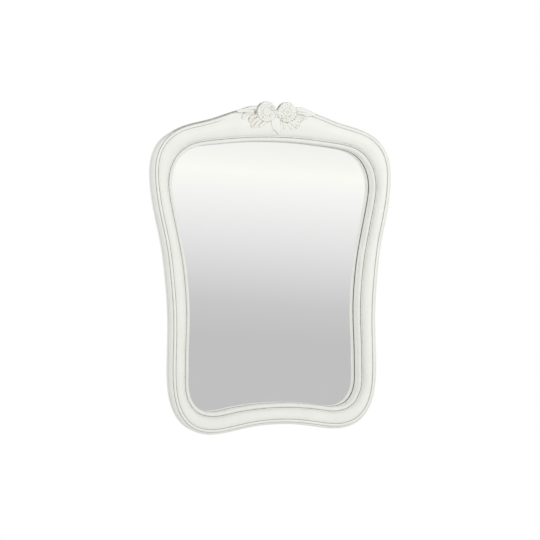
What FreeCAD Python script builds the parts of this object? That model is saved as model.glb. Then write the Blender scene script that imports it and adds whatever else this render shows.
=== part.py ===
import FreeCAD, Part
import math
import os
from FreeCAD import Vector

# A serpentine wall mirror with a painted wooden frame and a carved crest.
# X runs to the right, Z up, and Y back into the wall. The front faces -Y.
# The wall is the plane Y = 0, and Z = 0 is the line through the two hanging rings.
# Outlines are drawn about the middle of the frame's height and lowered at the end.

# Overall sizes, and how far inside them the sight edge lies at its widest and lowest
overall_width = 762.0
overall_height = 990.0
side_moulding_width = 60.0
foot_moulding_width = 63.0

# Heights of the moulding, measured forward from the frame's flat back
quirk_height = 52.0
crown_rise = 5.0
front_bead_rise = 3.3
fillet_drop = 9.0
groove_depth = 2.6
sight_bead_rise = 1.8
sight_bead_drop = 4.4
lip_height = 12.0
side_quirk_shares = (0.685, 0.338)
crown_height = quirk_height + crown_rise
fillet_height = quirk_height - fillet_drop
groove_height = fillet_height - groove_depth
wall_height = groove_height - sight_bead_drop

# Widths of the moulding, measured outward from the sight edge or the quirk
sight_bead_width = 11.0
groove_width = 0.9
fillet_width = 4.4
front_bead_width = 8.2
side_step = 5.2
side_swell = 2.0
quirk_depth = 1.2
outer_reach = front_bead_width + side_step + side_swell

# The quirk line between the front bead and the cushion: the right half, from the
# top centre to the bottom centre, as shares of half its width and half its height
quirk_half_width = overall_width / 2 - outer_reach
quirk_half_height = overall_height / 2 - outer_reach
quirk_shares = [
    (0.0, 0.961), (0.164, 0.961), (0.290, 0.951), (0.403, 0.926), (0.546, 0.888),
    (0.683, 0.861), (0.809, 0.829), (0.919, 0.769), (0.984, 0.679), (1.0, 0.552),
    (0.963, 0.338), (0.910, 0.148), (0.874, -0.071), (0.855, -0.292), (0.861, -0.590),
    (0.857, -0.733), (0.821, -0.861), (0.727, -0.961), (0.577, -1.0), (0.413, -0.991),
    (0.205, -0.965), (0.0, -0.956)]

# The sight edge, where the frame ends over the mirror, given the same way
sight_half_width = overall_width / 2 - side_moulding_width
sight_half_height = overall_height / 2 - foot_moulding_width
sight_shares = [
    (0.0, 0.877), (0.187, 0.874), (0.361, 0.865), (0.530, 0.852), (0.679, 0.838),
    (0.800, 0.815), (0.907, 0.762), (0.979, 0.671), (1.0, 0.558), (0.977, 0.437),
    (0.921, 0.237), (0.879, 0.075), (0.854, -0.067), (0.836, -0.250), (0.836, -0.400),
    (0.846, -0.600), (0.848, -0.728), (0.832, -0.880), (0.754, -0.968), (0.614, -1.0),
    (0.444, -0.984), (0.287, -0.968), (0.137, -0.959), (0.0, -0.957)]

# A station is added wherever the sight edge turns by more than this many degrees
station_turn = 13.0

# The cushion's face, as poles in shares of its width and of its rise
cushion_shares = [(0.02, 0.62), (0.16, 1.04), (0.50, 1.16), (0.80, 1.02)]

# The top band's fullest point, as shares of the side's swell and of the band's height
top_band_shares = (0.70, 0.65)

# Facets in each round part of the section, in a bar and in a bumper
bead_facets = 4
cushion_facets = 6
bar_facets = 12
bumper_facets = 16

# Joints between the four lengths of the frame, as shares of half the height, and the
# hanging line below the upper joint
upper_joint_share = 0.476
lower_joint_share = -0.666
upper_joint = upper_joint_share * overall_height / 2
lower_joint = lower_joint_share * overall_height / 2
hang_drop = 31.0
hang_height = upper_joint - hang_drop
dowel_radius = 5.0
dowel_length = 50.0
dowel_spacing = 18.0
dowel_inset = 28.0
dowel_height = 24.0
dowel_clearance = 0.2

# Mirror, backing and back panel in the rebate
rebate_width = 8.0
edge_gap = 1.5
glass_thickness = 4.0
silver_thickness = 0.3
backing_thickness = 3.7
panel_thickness = lip_height - glass_thickness - silver_thickness - backing_thickness
pad_length = 24.0
pad_gap = 0.3

# Back hardware
bumper_thickness = 5.0
bumper_radius = 9.0
retainer_length = 28.0
retainer_width = 12.0
retainer_thickness = 1.2
retainer_lap = 12.0
screw_radius = 1.6
screw_length = 15.0
screw_head_radius = 3.4
screw_head_height = 1.8
screw_inset = 6.5
screw_clearance = 0.2
strap_width = 15.0
strap_length = 38.0
strap_thickness = 1.0
strap_hole_inset = 10.4
strap_hole_spacing = 16.0
strap_loop_width = 9.0
ring_wire_radius = 1.3
ring_wire_facets = 8
ring_bow_facets = 10
ring_foot_facets = 2
ring_clearance = 0.1
ring_width = 18.0
ring_height = 17.0
ring_foot_radius = 3.0
ring_lean = 3.0

# Carved crest, placed on the frame by its roses
rose_radius = 31.0
rose_offset = 32.5
rose_centre_height = overall_height / 2 - rose_radius
carving_sink = 5.0
carving_lift = 2.5
carving_rise = 3.0
carving_seat = quirk_height - carving_sink
carving_edge = crown_height + carving_lift

# Space past the work for cutting tools
overrun = 20.0


def at(x, z, height):
    """A point given by its height forward of the frame's back."""
    return Vector(x, -(bumper_thickness + height), z)


def sewn(loops):
    """A solid from the closed loops of its flat faces."""
    faces = [Part.Face(Part.makePolygon(list(loop) + [loop[0]])) for loop in loops]
    shell = Part.makeShell(faces)
    shell.sewShape()
    solid = Part.makeSolid(shell)
    if solid.Volume < 0:
        solid.reverse()
    return solid


def bar(radius, start, along, facets=bar_facets):
    """A round bar from its start along a vector, as a prism with flat sides."""
    turn = FreeCAD.Rotation(Vector(0.0, 0.0, 1.0), along)
    rim = []
    for i in range(facets):
        angle = math.tau * (i + 0.5) / facets
        rim.append(start + turn.multVec(Vector(radius * math.cos(angle),
                                               radius * math.sin(angle), 0.0)))
    return Part.Face(Part.makePolygon(rim + rim[:1])).extrude(along)


def closed_outline(points):
    """A smooth closed curve through points at height zero."""
    curve = Part.BSplineCurve()
    curve.interpolate(Points=[at(x, z, 0.0) for x, z in points], PeriodicFlag=True)
    return curve


def both_halves(shares, width, height):
    """The right half's points, then the left half's on the way back up."""
    right = [(x * width, z * height) for x, z in shares]
    left = [(-x, z) for x, z in reversed(right[1:-1])]
    return right + left


def outward(curve, parameter):
    """The point at a parameter, and the direction that leads out of the frame."""
    point = curve.value(parameter)
    tangent = curve.tangent(parameter)[0]
    normal = Vector(tangent.z, 0.0, -tangent.x).normalize()
    if normal.dot(Vector(point.x, 0.0, point.z)) < 0:
        normal = normal.negative()
    return point, normal


def find_stations():
    """Places round the frame: sight point, outward direction, width and slant."""
    sight = closed_outline(both_halves(sight_shares, sight_half_width, sight_half_height))
    quirk = closed_outline(both_halves(quirk_shares, quirk_half_width, quirk_half_height))
    quirk_edge = quirk.toShape()
    knots = sight.getKnots()
    stations = []
    for low, high in zip(knots[:-1], knots[1:]):
        turn = math.degrees(outward(sight, low)[1].getAngle(outward(sight, high)[1]))
        parts = math.ceil(turn / station_turn)
        for step in range(parts):
            parameter = low + (high - low) * step / parts
            point, normal = outward(sight, parameter)
            reach = Part.makeLine(point, point + normal * quirk_half_height)
            hit = reach.distToShape(quirk_edge)[1][0][1]
            _, quirk_normal = outward(quirk, quirk.parameter(hit))
            stations.append((point, normal, (hit - point).Length, 1 / quirk_normal.dot(normal)))
    return stations


STATIONS = find_stations()


def on_station(station, out, height):
    point, normal = station[0], station[1]
    place = point + normal * out
    return at(place.x, place.z, height)


def sampled(curve, facets):
    """Points along a curve drawn in the section's plane: X leads out and Z forward."""
    return [(p.x, p.z) for p in curve.toShape().discretize(facets + 1)]


def bead(start, middle, end):
    """A round bead: an arc through three points of the section."""
    points = [Vector(out, 0.0, height) for out, height in (start, middle, end)]
    return sampled(Part.Arc(*points), bead_facets)


def cushion(start, end, rise):
    """The cushion's face, steep by the fillet and falling gently to the quirk."""
    width = end[0] - start[0]
    poles = [start] + [(start[0] + width * a, start[1] + rise * b) for a, b in cushion_shares] + [end]
    curve = Part.BezierCurve()
    curve.setPoles([Vector(out, 0.0, height) for out, height in poles])
    return sampled(curve, cushion_facets)


def moulding_section(station):
    """The closed section of the frame at one station."""
    width, slant = station[2], station[3]
    step = sight_bead_width + groove_width
    fillet = sight_bead_width + fillet_width
    front = width + front_bead_width * slant
    side = front + side_step * slant
    swell = side_swell * slant
    shoulder = quirk_height - quirk_depth
    upper, lower = [quirk_height * share for share in side_quirk_shares]
    top_out, top_up = top_band_shares
    fullest = (side + swell * top_out, upper + (quirk_height - upper) * top_up)
    runs = [
        [(rebate_width, 0.0), (rebate_width, lip_height), (0.0, lip_height)],
        bead((0.0, wall_height), (sight_bead_width / 2, groove_height + sight_bead_rise),
             (sight_bead_width, groove_height)),
        [(step, fillet_height)],
        cushion((fillet, fillet_height), (width, quirk_height), crown_height - fillet_height),
        bead((width, quirk_height), ((width + front) / 2, quirk_height + front_bead_rise),
             (front, shoulder))[1:],
        bead((front, shoulder), fullest, (side, upper))[1:],
        bead((side, upper), (side + swell, (upper + lower) / 2), (side, lower))[1:],
        bead((side, lower), (side + swell, lower / 2), (side + swell / 2, 0.0))[1:]]
    corners = [on_station(station, out, height) for run in runs for out, height in run]
    return Part.makePolygon(corners + corners[:1])


def block(low, high):
    """A box between two corners."""
    size = high - low
    return Part.makeBox(size.x, size.y, size.z, low)


def half_frame():
    """The right half of the moulding, with its ends square at X = 0."""
    count = len(STATIONS)
    half = count // 2
    run = [STATIONS[i % count] for i in range(-2, half + 3)]
    body = Part.makeLoft([moulding_section(s) for s in run], True, True)
    side = block(Vector(0.0, -overall_height, -overall_height),
                 Vector(overall_width, overrun, overall_height))
    return body.common(side)


def slab(low_z, high_z):
    return block(Vector(-overall_width, -overall_height, low_z),
                 Vector(overall_width, overrun, high_z))


def mirrored(shape):
    return shape.mirror(Vector(0.0, 0.0, 0.0), Vector(1.0, 0.0, 0.0))


def stile_middle(z):
    """Where a dowel pair is centred on the joint at height z, on the right."""
    right = [s for s in STATIONS if s[0].x > 0]
    nearest = min(right, key=lambda s: abs(s[0].z - z))
    return nearest[0].x + dowel_inset * nearest[1].x


def dowel_pair(side, z, radius, length):
    middle = stile_middle(z)
    pins = []
    for shift in (-dowel_spacing / 2, dowel_spacing / 2):
        foot = at(side * (middle + shift), z - length / 2, dowel_height)
        pins.append(bar(radius, foot, Vector(0.0, 0.0, length)))
    return Part.makeCompound(pins)


def inner_outline(gap, from_height, to_height):
    """A plate that fits the rebate with a gap all round."""
    corners = [on_station(s, rebate_width - gap, from_height) for s in STATIONS]
    face = Part.Face(Part.makePolygon(corners + corners[:1]))
    return face.extrude(Vector(0.0, from_height - to_height, 0.0))


def turned_box(station, out_low, out_high, half_length, low, high):
    """A box that lies square to the rebate at one station."""
    point, normal = station[0], station[1]
    along = Vector(-normal.z, 0.0, normal.x)
    corners = []
    for out, reach in ((out_low, -half_length), (out_high, -half_length),
                       (out_high, half_length), (out_low, half_length)):
        place = point + normal * out + along * reach
        corners.append(at(place.x, place.z, low))
    corners.append(corners[0])
    face = Part.Face(Part.makePolygon(corners))
    return face.extrude(Vector(0.0, low - high, 0.0))


def screw(x, z, seat):
    """A pan-head screw with the underside of its head at height seat."""
    shank = bar(screw_radius, at(x, z, seat), Vector(0.0, -screw_length, 0.0))
    head = bar(screw_head_radius, at(x, z, seat), Vector(0.0, screw_head_height, 0.0))
    return shank.fuse(head)


def screw_hole(x, z):
    """Clearance for a screw, from behind the frame to just past the screw's point."""
    depth = screw_length + screw_clearance
    return bar(screw_radius + screw_clearance, at(x, z, -overrun),
               Vector(0.0, -(depth + overrun), 0.0))


# Where the retainer plates and the edge pads sit, as shares of the way round from the
# top centre to the bottom centre
retainer_shares = (0.10, 0.36, 0.62, 0.90)
pad_shares = (0.20, 0.49, 0.76)


def both_sides(shares):
    """The stations nearest these shares of the way down, and their twins on the left."""
    count = len(STATIONS)
    numbers = [round(share * count / 2) for share in shares]
    return [STATIONS[n] for n in numbers] + [STATIONS[count - n] for n in numbers]


def retainer_places():
    for station in both_sides(retainer_shares):
        place = station[0] + station[1] * (rebate_width + screw_inset)
        yield station, place.x, place.z


def ring_place(side):
    """Centre of the ring's leg on one stile."""
    middle = stile_middle(hang_height) + rebate_width / 2
    axis_height = -(strap_thickness + ring_clearance + ring_wire_radius)
    return at(side * middle, hang_height - ring_height, axis_height)


def strap_holes(side):
    leg = ring_place(side)
    top = leg.z - strap_hole_inset
    return [(leg.x, top), (leg.x, top - strap_hole_spacing)]


def hanger_strap(side):
    """A strap whose end curls round the ring's leg, narrowed beside the ring's feet."""
    leg = ring_place(side)
    flat = at(0.0, 0.0, 0.0).y
    top = at(0.0, 0.0, -strap_thickness).y
    neck = leg.z - 2 * ring_wire_radius
    plate = block(Vector(leg.x - strap_width / 2, flat, leg.z - strap_length),
                  Vector(leg.x + strap_width / 2, top, neck))
    tongue = block(Vector(leg.x - strap_loop_width / 2, flat, neck),
                   Vector(leg.x + strap_loop_width / 2, top, leg.z))
    bore = ring_wire_radius + ring_clearance
    start = leg - Vector(strap_loop_width / 2, 0.0, 0.0)
    loop = bar(bore + strap_thickness, start, Vector(strap_loop_width, 0.0, 0.0))
    hole = Part.makeCylinder(bore, 2 * strap_width, leg - Vector(strap_width, 0.0, 0.0),
                             Vector(1.0, 0.0, 0.0))
    strap = plate.fuse([tongue, loop]).cut([hole] + [screw_hole(x, z) for x, z in strap_holes(side)])
    return strap.removeSplitter()


def arc_run(centre_x, centre_z, radius, start, end, facets):
    """Points on an arc, each with the direction that leads away from its centre."""
    run = []
    for i in range(facets + 1):
        angle = math.radians(start + (end - start) * i / facets)
        away = (math.cos(angle), math.sin(angle))
        run.append((centre_x + radius * away[0], centre_z + radius * away[1], away))
    return run


def hanger_ring(side):
    """A D-shaped wire ring, its straight leg through the strap's loop."""
    leg = ring_place(side)
    half = ring_width / 2
    foot = ring_foot_radius
    path = arc_run(half - foot, foot, foot, -90.0, 0.0, ring_foot_facets)
    path += arc_run(0.0, ring_height - half, half, 0.0, 180.0, ring_bow_facets)
    path += arc_run(foot - half, foot, foot, 180.0, 270.0, ring_foot_facets)
    rims = []
    for x, z, away in path:
        rim = []
        for i in range(ring_wire_facets):
            angle = math.tau * i / ring_wire_facets
            reach = ring_wire_radius * math.cos(angle)
            rim.append(leg + Vector(x + reach * away[0], ring_wire_radius * math.sin(angle),
                                    z + reach * away[1]))
        rims.append(rim)
    loops = []
    for here, there in zip(rims, rims[1:] + rims[:1]):
        for i in range(ring_wire_facets):
            j = (i + 1) % ring_wire_facets
            loops.append((here[i], here[j], there[j], there[i]))
    round_leg = Part.makeCylinder(ring_wire_radius, ring_width - 2 * foot,
                                  leg - Vector(half - foot, 0.0, 0.0), Vector(1.0, 0.0, 0.0))
    ring = sewn(loops).fuse(round_leg).removeSplitter()
    ring.rotate(leg, Vector(1.0, 0.0, 0.0), ring_lean)
    return ring


def ring_of(outline, height, fall, root):
    """An outline lifted to a height that falls with distance from its root."""
    points = []
    for x, z in outline:
        away = math.hypot(x - root[0], z - root[1])
        points.append(at(x, z, height - fall * away))
    return points


def at_height(outline, height):
    """An outline as a closed wire at one height."""
    corners = [at(x, z, height) for x, z in outline]
    return Part.makePolygon(corners + corners[:1])


def shrunk(outline, middle, scale):
    return [(middle[0] + (x - middle[0]) * scale, middle[1] + (z - middle[1]) * scale)
            for x, z in outline]


def carved(outline, middle, edge, top, shrink, fall=0.0, back=carving_seat):
    """A carved boss: upright sides, a sloping shoulder and a low peaked top."""
    base = ring_of(outline, back, 0.0, middle)
    rim = ring_of(outline, edge, fall, middle)
    crown = ring_of(shrunk(outline, middle, shrink), top, fall, middle)
    peak = at(middle[0], middle[1], top)
    loops = [base]
    for i in range(len(outline)):
        j = (i + 1) % len(outline)
        loops += [(base[i], base[j], rim[j], rim[i]), (rim[i], rim[j], crown[j]),
                  (rim[i], crown[j], crown[i]), (crown[i], crown[j], peak)]
    return sewn(loops)


def petals(middle, radius, lobes, turn, notch):
    """A round outline with soft lobes: three points to a lobe."""
    outline = []
    for i in range(3 * lobes):
        angle = math.tau * (i + turn) / (3 * lobes)
        reach = radius * (notch if i % 3 == 0 else 1.0)
        outline.append((middle[0] + reach * math.cos(angle), middle[1] + reach * math.sin(angle)))
    return outline


# A rose is three tiers of petals, each smaller and further forward
rose_tier_shares = (1.0, 0.70, 0.38)
rose_tier_lobes = (9, 7, 5)
rose_tier_lifts = (1.2, 3.0, 4.6)
rose_tier_rise = 2.2
rose_crown_shares = (0.80, 0.78, 0.70)
rose_notch_share = 0.90
rose_eye_share = 0.14
rose_eye_depth = 3.6


def rose(side):
    middle = (side * rose_offset, rose_centre_height)
    tiers = []
    for share, lobes, lift, crown in zip(rose_tier_shares, rose_tier_lobes, rose_tier_lifts,
                                         rose_crown_shares):
        outline = petals(middle, rose_radius * share, lobes, side * share, rose_notch_share)
        edge = crown_height + lift
        tiers.append(carved(outline, middle, edge, edge + rose_tier_rise, crown))
    eye = petals(middle, rose_radius * rose_eye_share, 2, side, 1.0)
    eye = at_height(eye, crown_height + rose_tier_lifts[-1] + rose_tier_rise - rose_eye_depth)
    eye = Part.Face(eye).extrude(Vector(0.0, -overrun, 0.0))
    return tiers[0].fuse(tiers[1:]).cut(eye)


# Leaf outlines, as shares of the leaf's length and height from its root corner. A leaf
# peaks at its heart, and falls away from there by a share of the distance.
wing_length = 68.0
wing_height = 46.0
wing_shares = [(0.0, 0.92), (0.28, 1.0), (0.55, 0.93), (0.72, 0.70), (1.0, 0.45), (0.86, 0.34),
               (0.80, 0.16), (0.72, 0.02), (0.60, 0.16), (0.50, 0.0), (0.36, 0.14), (0.0, 0.10)]
wing_root = 57.0
wing_drop = 25.5
wing_heart_shares = (0.40, 0.50)
wing_fall_share = 0.03
lower_length = 50.0
lower_height = 36.0
lower_shares = [(0.0, 1.0), (0.55, 1.0), (1.0, 0.92), (0.94, 0.60), (0.98, 0.36), (0.86, 0.24),
                (0.80, 0.0), (0.62, 0.14), (0.44, 0.10), (0.30, 0.22), (0.0, 0.52)]
lower_root = 28.0
lower_drop = 52.0
lower_heart_shares = (0.45, 0.60)
lower_fall_share = 0.03
stem_width = 31.0
stem_height = 66.0
stem_shares = [(-0.5, 1.0), (0.5, 1.0), (0.46, 0.60), (0.30, 0.42), (0.44, 0.24), (0.50, 0.0),
               (-0.26, 0.0), (-0.20, 0.26), (-0.16, 0.44), (-0.44, 0.66)]
stem_heart_shares = (0.0, 0.90)
stem_drop = 9.0
stem_fall_share = 0.165
stem_sink = 9.4
leaf_crown_share = 0.5
bud_radius = 7.5
bud_shift = -11.5
bud_rise = 10.5
bud_lift = 4.0
bud_notch_share = 0.8
bud_crown_share = 0.6


def placed(shares, length, height, x, z, side):
    return [(side * (x + a * length), z + b * height) for a, b in shares]


def leaf(shares, length, height, x, z, side, heart_shares, fall, back=carving_seat):
    """A leaf or stem cut from its outline, highest at its heart."""
    outline = placed(shares, length, height, x, z, side)
    heart = placed([heart_shares], length, height, x, z, side)[0]
    return carved(outline, heart, carving_edge, carving_edge + carving_rise, leaf_crown_share,
                  fall, back)


def wing_leaf(side):
    base = rose_centre_height - wing_drop
    return leaf(wing_shares, wing_length, wing_height, wing_root, base, side, wing_heart_shares,
                wing_fall_share)


def lower_leaf(side):
    base = rose_centre_height - lower_drop
    return leaf(lower_shares, lower_length, lower_height, lower_root, base, side, lower_heart_shares,
                lower_fall_share)


def stem():
    base = rose_centre_height - stem_drop - stem_height
    return leaf(stem_shares, stem_width, stem_height, 0.0, base, 1, stem_heart_shares,
                stem_fall_share, quirk_height - stem_sink)


def bud():
    middle = (bud_shift, rose_centre_height + bud_rise)
    outline = petals(middle, bud_radius, 3, 0.5, bud_notch_share)
    edge = crown_height + bud_lift
    return carved(outline, middle, edge, edge + carving_rise, bud_crown_share)


def save(name, shape):
    """Lower the shape to the hanging line and write it."""
    solids = Part.makeCompound(shape.Solids)
    solids.translate(Vector(0.0, 0.0, -hang_height))
    out = solids.Solids[0] if len(solids.Solids) == 1 else solids
    out.exportStep("parts/" + name + ".step")
    print(name, len(solids.Solids), "solids", round(solids.Volume), "mm3", solids.isValid())


def build_frame(carving):
    half = half_frame()
    holes = [dowel_pair(1, z, dowel_radius + dowel_clearance, dowel_length + 2 * dowel_clearance)
             for z in (upper_joint, lower_joint)]
    holes += [screw_hole(x, z) for _, x, z in retainer_places() if x > 0]
    holes += [screw_hole(x, z) for x, z in strap_holes(1)]
    half = half.cut(holes)
    crest = half.common(slab(upper_joint, overall_height))
    stile = half.common(slab(lower_joint, upper_joint))
    foot = half.common(slab(-overall_height, lower_joint))
    return {"crest_rail": crest.fuse(mirrored(crest)).removeSplitter().cut(carving),
            "right_stile": stile,
            "left_stile": mirrored(stile),
            "bottom_rail": foot.fuse(mirrored(foot)).removeSplitter()}


def build_crest_carving():
    """The carved pieces in the order they are fitted: each gives way to those before."""
    pieces = [("rose_bud", bud()), ("left_rose", rose(-1)), ("right_rose", rose(1)),
              ("left_wing_leaf", wing_leaf(-1)), ("right_wing_leaf", wing_leaf(1)),
              ("left_lower_leaf", lower_leaf(-1)), ("right_lower_leaf", lower_leaf(1)),
              ("ribbon_stem", stem())]
    fitted = []
    for name, shape in pieces:
        if fitted:
            shape = shape.cut([s for _, s in fitted])
        fitted.append((name, shape))
    return fitted


def build_mirror():
    glass_back = lip_height - glass_thickness
    silver_back = glass_back - silver_thickness
    yield "mirror_glass", inner_outline(edge_gap, glass_back, lip_height)
    yield "mirror_silvering", inner_outline(edge_gap, silver_back, glass_back)
    yield "backing_board", inner_outline(edge_gap, panel_thickness, silver_back)
    yield "back_panel", inner_outline(edge_gap, 0.0, panel_thickness)
    ring = inner_outline(pad_gap, glass_back, lip_height)
    ring = ring.cut(inner_outline(edge_gap, 0.0, lip_height + overrun))
    pads = [ring.common(turned_box(s, 0.0, 2 * rebate_width, pad_length / 2, 0.0,
                                   lip_height + overrun))
            for s in both_sides(pad_shares)]
    yield "glass_edge_pads", Part.makeCompound(pads)


def build_back():
    plates = []
    screws = []
    for station, x, z in retainer_places():
        low = rebate_width - retainer_lap
        plate = turned_box(station, low, low + retainer_length, retainer_width / 2,
                           -retainer_thickness, 0.0)
        plates.append(plate.cut(screw_hole(x, z)))
        screws.append(screw(x, z, -retainer_thickness))
    yield "retainer_plates", Part.makeCompound(plates)
    yield "retainer_screws", Part.makeCompound(screws)
    strap_screws = []
    for name, side in (("left", -1), ("right", 1)):
        yield name + "_hanger_strap", hanger_strap(side)
        yield name + "_hanger_ring", hanger_ring(side)
        strap_screws += [screw(x, z, -strap_thickness) for x, z in strap_holes(side)]
    yield "hanger_screws", Part.makeCompound(strap_screws)
    bumpers = []
    for z in (upper_joint + dowel_length, lower_joint + dowel_length):
        x = stile_middle(z)
        for side in (-1, 1):
            bumpers.append(bar(bumper_radius, at(side * x, z, 0.0),
                               Vector(0.0, bumper_thickness, 0.0), bumper_facets))
    yield "wall_bumpers", Part.makeCompound(bumpers)


def build_dowels():
    for name, z in (("upper_joint_dowels", upper_joint), ("lower_joint_dowels", lower_joint)):
        pairs = [dowel_pair(side, z, dowel_radius, dowel_length) for side in (-1, 1)]
        yield name, Part.makeCompound(pairs)


def main():
    os.makedirs("parts", exist_ok=True)
    carving = build_crest_carving()
    frame = build_frame([shape for _, shape in carving])
    for name, shape in list(frame.items()) + carving:
        save(name, shape)
    for makers in (build_mirror(), build_back(), build_dowels()):
        for name, shape in makers:
            save(name, shape)


main()
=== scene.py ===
import math
from contextlib import contextmanager
from functools import partial

import bpy
import numpy as np
from bpy.props import FloatProperty, FloatVectorProperty, IntProperty, PointerProperty
from bpy.types import Operator, Panel, PropertyGroup
from mathutils import Matrix, Vector


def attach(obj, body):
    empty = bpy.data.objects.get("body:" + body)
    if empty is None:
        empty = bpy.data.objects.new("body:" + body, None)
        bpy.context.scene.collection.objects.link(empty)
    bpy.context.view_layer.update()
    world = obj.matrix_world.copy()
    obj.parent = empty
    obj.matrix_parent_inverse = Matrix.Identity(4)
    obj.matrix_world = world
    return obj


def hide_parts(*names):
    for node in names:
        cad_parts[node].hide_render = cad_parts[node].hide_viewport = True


bl_info = {
    "name": "Serpentine wall mirror",
    "version": (1, 0, 0),
    "blender": (4, 5, 0),
    "location": "View3D > Sidebar > Mirror",
    "description": "Dresses the frame of a painted wall mirror with a carved crest",
    "category": "Object",
}

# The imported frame. X runs to the right, Z up, Y back into the wall, in metres. The wall
# is Y = 0, and Z = 0 is the line through the two hanging rings.
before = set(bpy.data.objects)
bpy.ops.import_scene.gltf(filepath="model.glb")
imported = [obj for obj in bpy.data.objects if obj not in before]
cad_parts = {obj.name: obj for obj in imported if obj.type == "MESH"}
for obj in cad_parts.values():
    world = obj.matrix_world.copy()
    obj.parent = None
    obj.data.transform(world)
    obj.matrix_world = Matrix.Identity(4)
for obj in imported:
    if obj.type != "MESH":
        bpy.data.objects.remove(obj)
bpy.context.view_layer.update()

MM = 0.001
FRAME_BACK = 5.0        # mm from the wall to the frame's flat back
HANG_HEIGHT = 204.62    # mm from the middle of the frame's height up to the hanging line

# Outlines in mm about the middle of the frame's height: the right half, from the top
# centre to the bottom centre, as shares of half the width and half the height
QUIRK_SHARES = [
    (0.0, 0.961), (0.164, 0.961), (0.290, 0.951), (0.403, 0.926), (0.546, 0.888),
    (0.683, 0.861), (0.809, 0.829), (0.919, 0.769), (0.984, 0.679), (1.0, 0.552),
    (0.963, 0.338), (0.910, 0.148), (0.874, -0.071), (0.855, -0.292), (0.861, -0.590),
    (0.857, -0.733), (0.821, -0.861), (0.727, -0.961), (0.577, -1.0), (0.413, -0.991),
    (0.205, -0.965), (0.0, -0.956)]
SIGHT_SHARES = [
    (0.0, 0.877), (0.187, 0.874), (0.361, 0.865), (0.530, 0.852), (0.679, 0.838),
    (0.800, 0.815), (0.907, 0.762), (0.979, 0.671), (1.0, 0.558), (0.977, 0.437),
    (0.921, 0.237), (0.879, 0.075), (0.854, -0.067), (0.836, -0.250), (0.836, -0.400),
    (0.846, -0.600), (0.848, -0.728), (0.832, -0.880), (0.754, -0.968), (0.614, -1.0),
    (0.444, -0.984), (0.287, -0.968), (0.137, -0.959), (0.0, -0.957)]
# The cushion's face between fillet and quirk: shares of its width and of its rise
CUSHION_SHARES = [(0.02, 0.62), (0.16, 1.04), (0.50, 1.16), (0.80, 1.02)]

# The moulding's section, in mm
REBATE_WIDE, REBATE_DEEP = 8.0, 12.0
FILLET_DROP = 9.0           # the fillet below the quirk
GROOVE_DROP = 2.6           # the groove below the fillet
WALL_DROP = 4.4             # the top of the inner wall below the groove
SHOULDER_DROP = 1.2         # the outer edge of the front bead below the quirk
SIDE_LINES = 0.685, 0.338   # knife lines in the side, as shares of the quirk's height
CREST_LEAN = 3.0            # the side leans in by this at its lower line, over the crest

# Where the crest is shaped in its own way, from the middle of the frame, and what the
# carving on it needs, in mm
CREST_ABOVE = [290.0, 345.0]                    # by the height of the sight edge
CREST_ACROSS = [300.0, 350.0]                   # to either side
BEAD_FADES = [-190.0, -150.0, -70.0, -40.0]     # the front bead dies away and comes back
SIDE_SHADE_ACROSS, SIDE_SHADE = [-60.0, 60.0], [0.85, 0.22]     # painted shade laid as glaze on the side over the crest, left to right
FACE_STEP = 0.5             # between the heights kept of the rail's face
SKIRT = 1.3                 # how far a lobe's skirt reaches out beyond it

# The fittings, in mm
GLASS_PLAY = 1.5            # from the glass to the rebate's wall
GLASS_BACK = 7.9            # the back of the glass above the flat back
SCREW_SHANK, HEAD_RADIUS, HEAD_HIGH = 15.0, 3.4, 1.8
RETAINER_SIZE, RETAINER_CORNER, RETAINER_THICK = (28.0, 12.0), 3.0, 1.2
RING_ACROSS = 345.066       # from the middle to each hanging ring
RING_DROP = 17.0            # from the hanging line down to the ring's leg
RING_WIRE = 1.3             # radius of the ring's wire
RING_PLAY = 0.1             # round the wire, in the strap's curl
STRAP_THICK = 1.0
RING_AXIS = STRAP_THICK + RING_PLAY + RING_WIRE     # the middle of the leg behind the frame

ROOM_FLOOR = "#C1C0C1"      # the floor as the mirror shows it


def linear(colour):
    """The linear values of an sRGB hex colour."""
    parts = [int(colour[i:i + 2], 16) / 255 for i in (1, 3, 5)]
    return [c / 12.92 if c <= 0.04045 else ((c + 0.055) / 1.055) ** 2.4 for c in parts]


def number(name, description, default, **more):
    return FloatProperty(name=name, description=description, default=default, **more)


def length(name, description, default):
    return number(name, description, default * MM, unit="LENGTH", subtype="DISTANCE",
                  precision=5)


def colour(name, description, default):
    return FloatVectorProperty(name=name, description=description, default=linear(default),
                               subtype="COLOR", size=3, min=0.0, max=1.0)


class MouldingSettings(PropertyGroup):
    overall_width: length("Overall width", "Width of the frame", 761.4)
    overall_height: length("Overall height", "Height of the frame", 989.4)
    side_width: length("Side width", "Overall edge to the sight edge at its widest", 60.0)
    foot_width: length("Foot width", "Overall edge to the sight edge at its lowest", 63.0)
    quirk_height: length("Quirk height", "Front of the quirk above the flat back", 52.0)
    crown_rise: length("Crown rise", "Top of the cushion above the quirk", 5.0)
    sight_bead: length("Sight bead", "Width of the bead beside the glass", 11.0)
    groove: length("Groove", "Width of the groove outside that bead", 0.9)
    fillet: length("Fillet", "Width of the groove and fillet", 4.4)
    front_bead: length("Front bead", "Width of the bead outside the cushion", 8.2)
    side_step: length("Side step", "Slope from the front bead to the side", 5.2)
    side_swell: length("Side swell", "How far the side beads stand out", 1.9)
    quirk_cut: length("Quirk cut", "Depth of the knife line in each quirk", 0.9)
    upper_joint: length("Upper joint", "Joint above the middle of the height", 235.62)
    lower_joint: length("Lower joint", "Joint below the middle of the height", 329.67)
    rounds: IntProperty(name="Sections", description="Sections round the frame", default=400)


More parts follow.
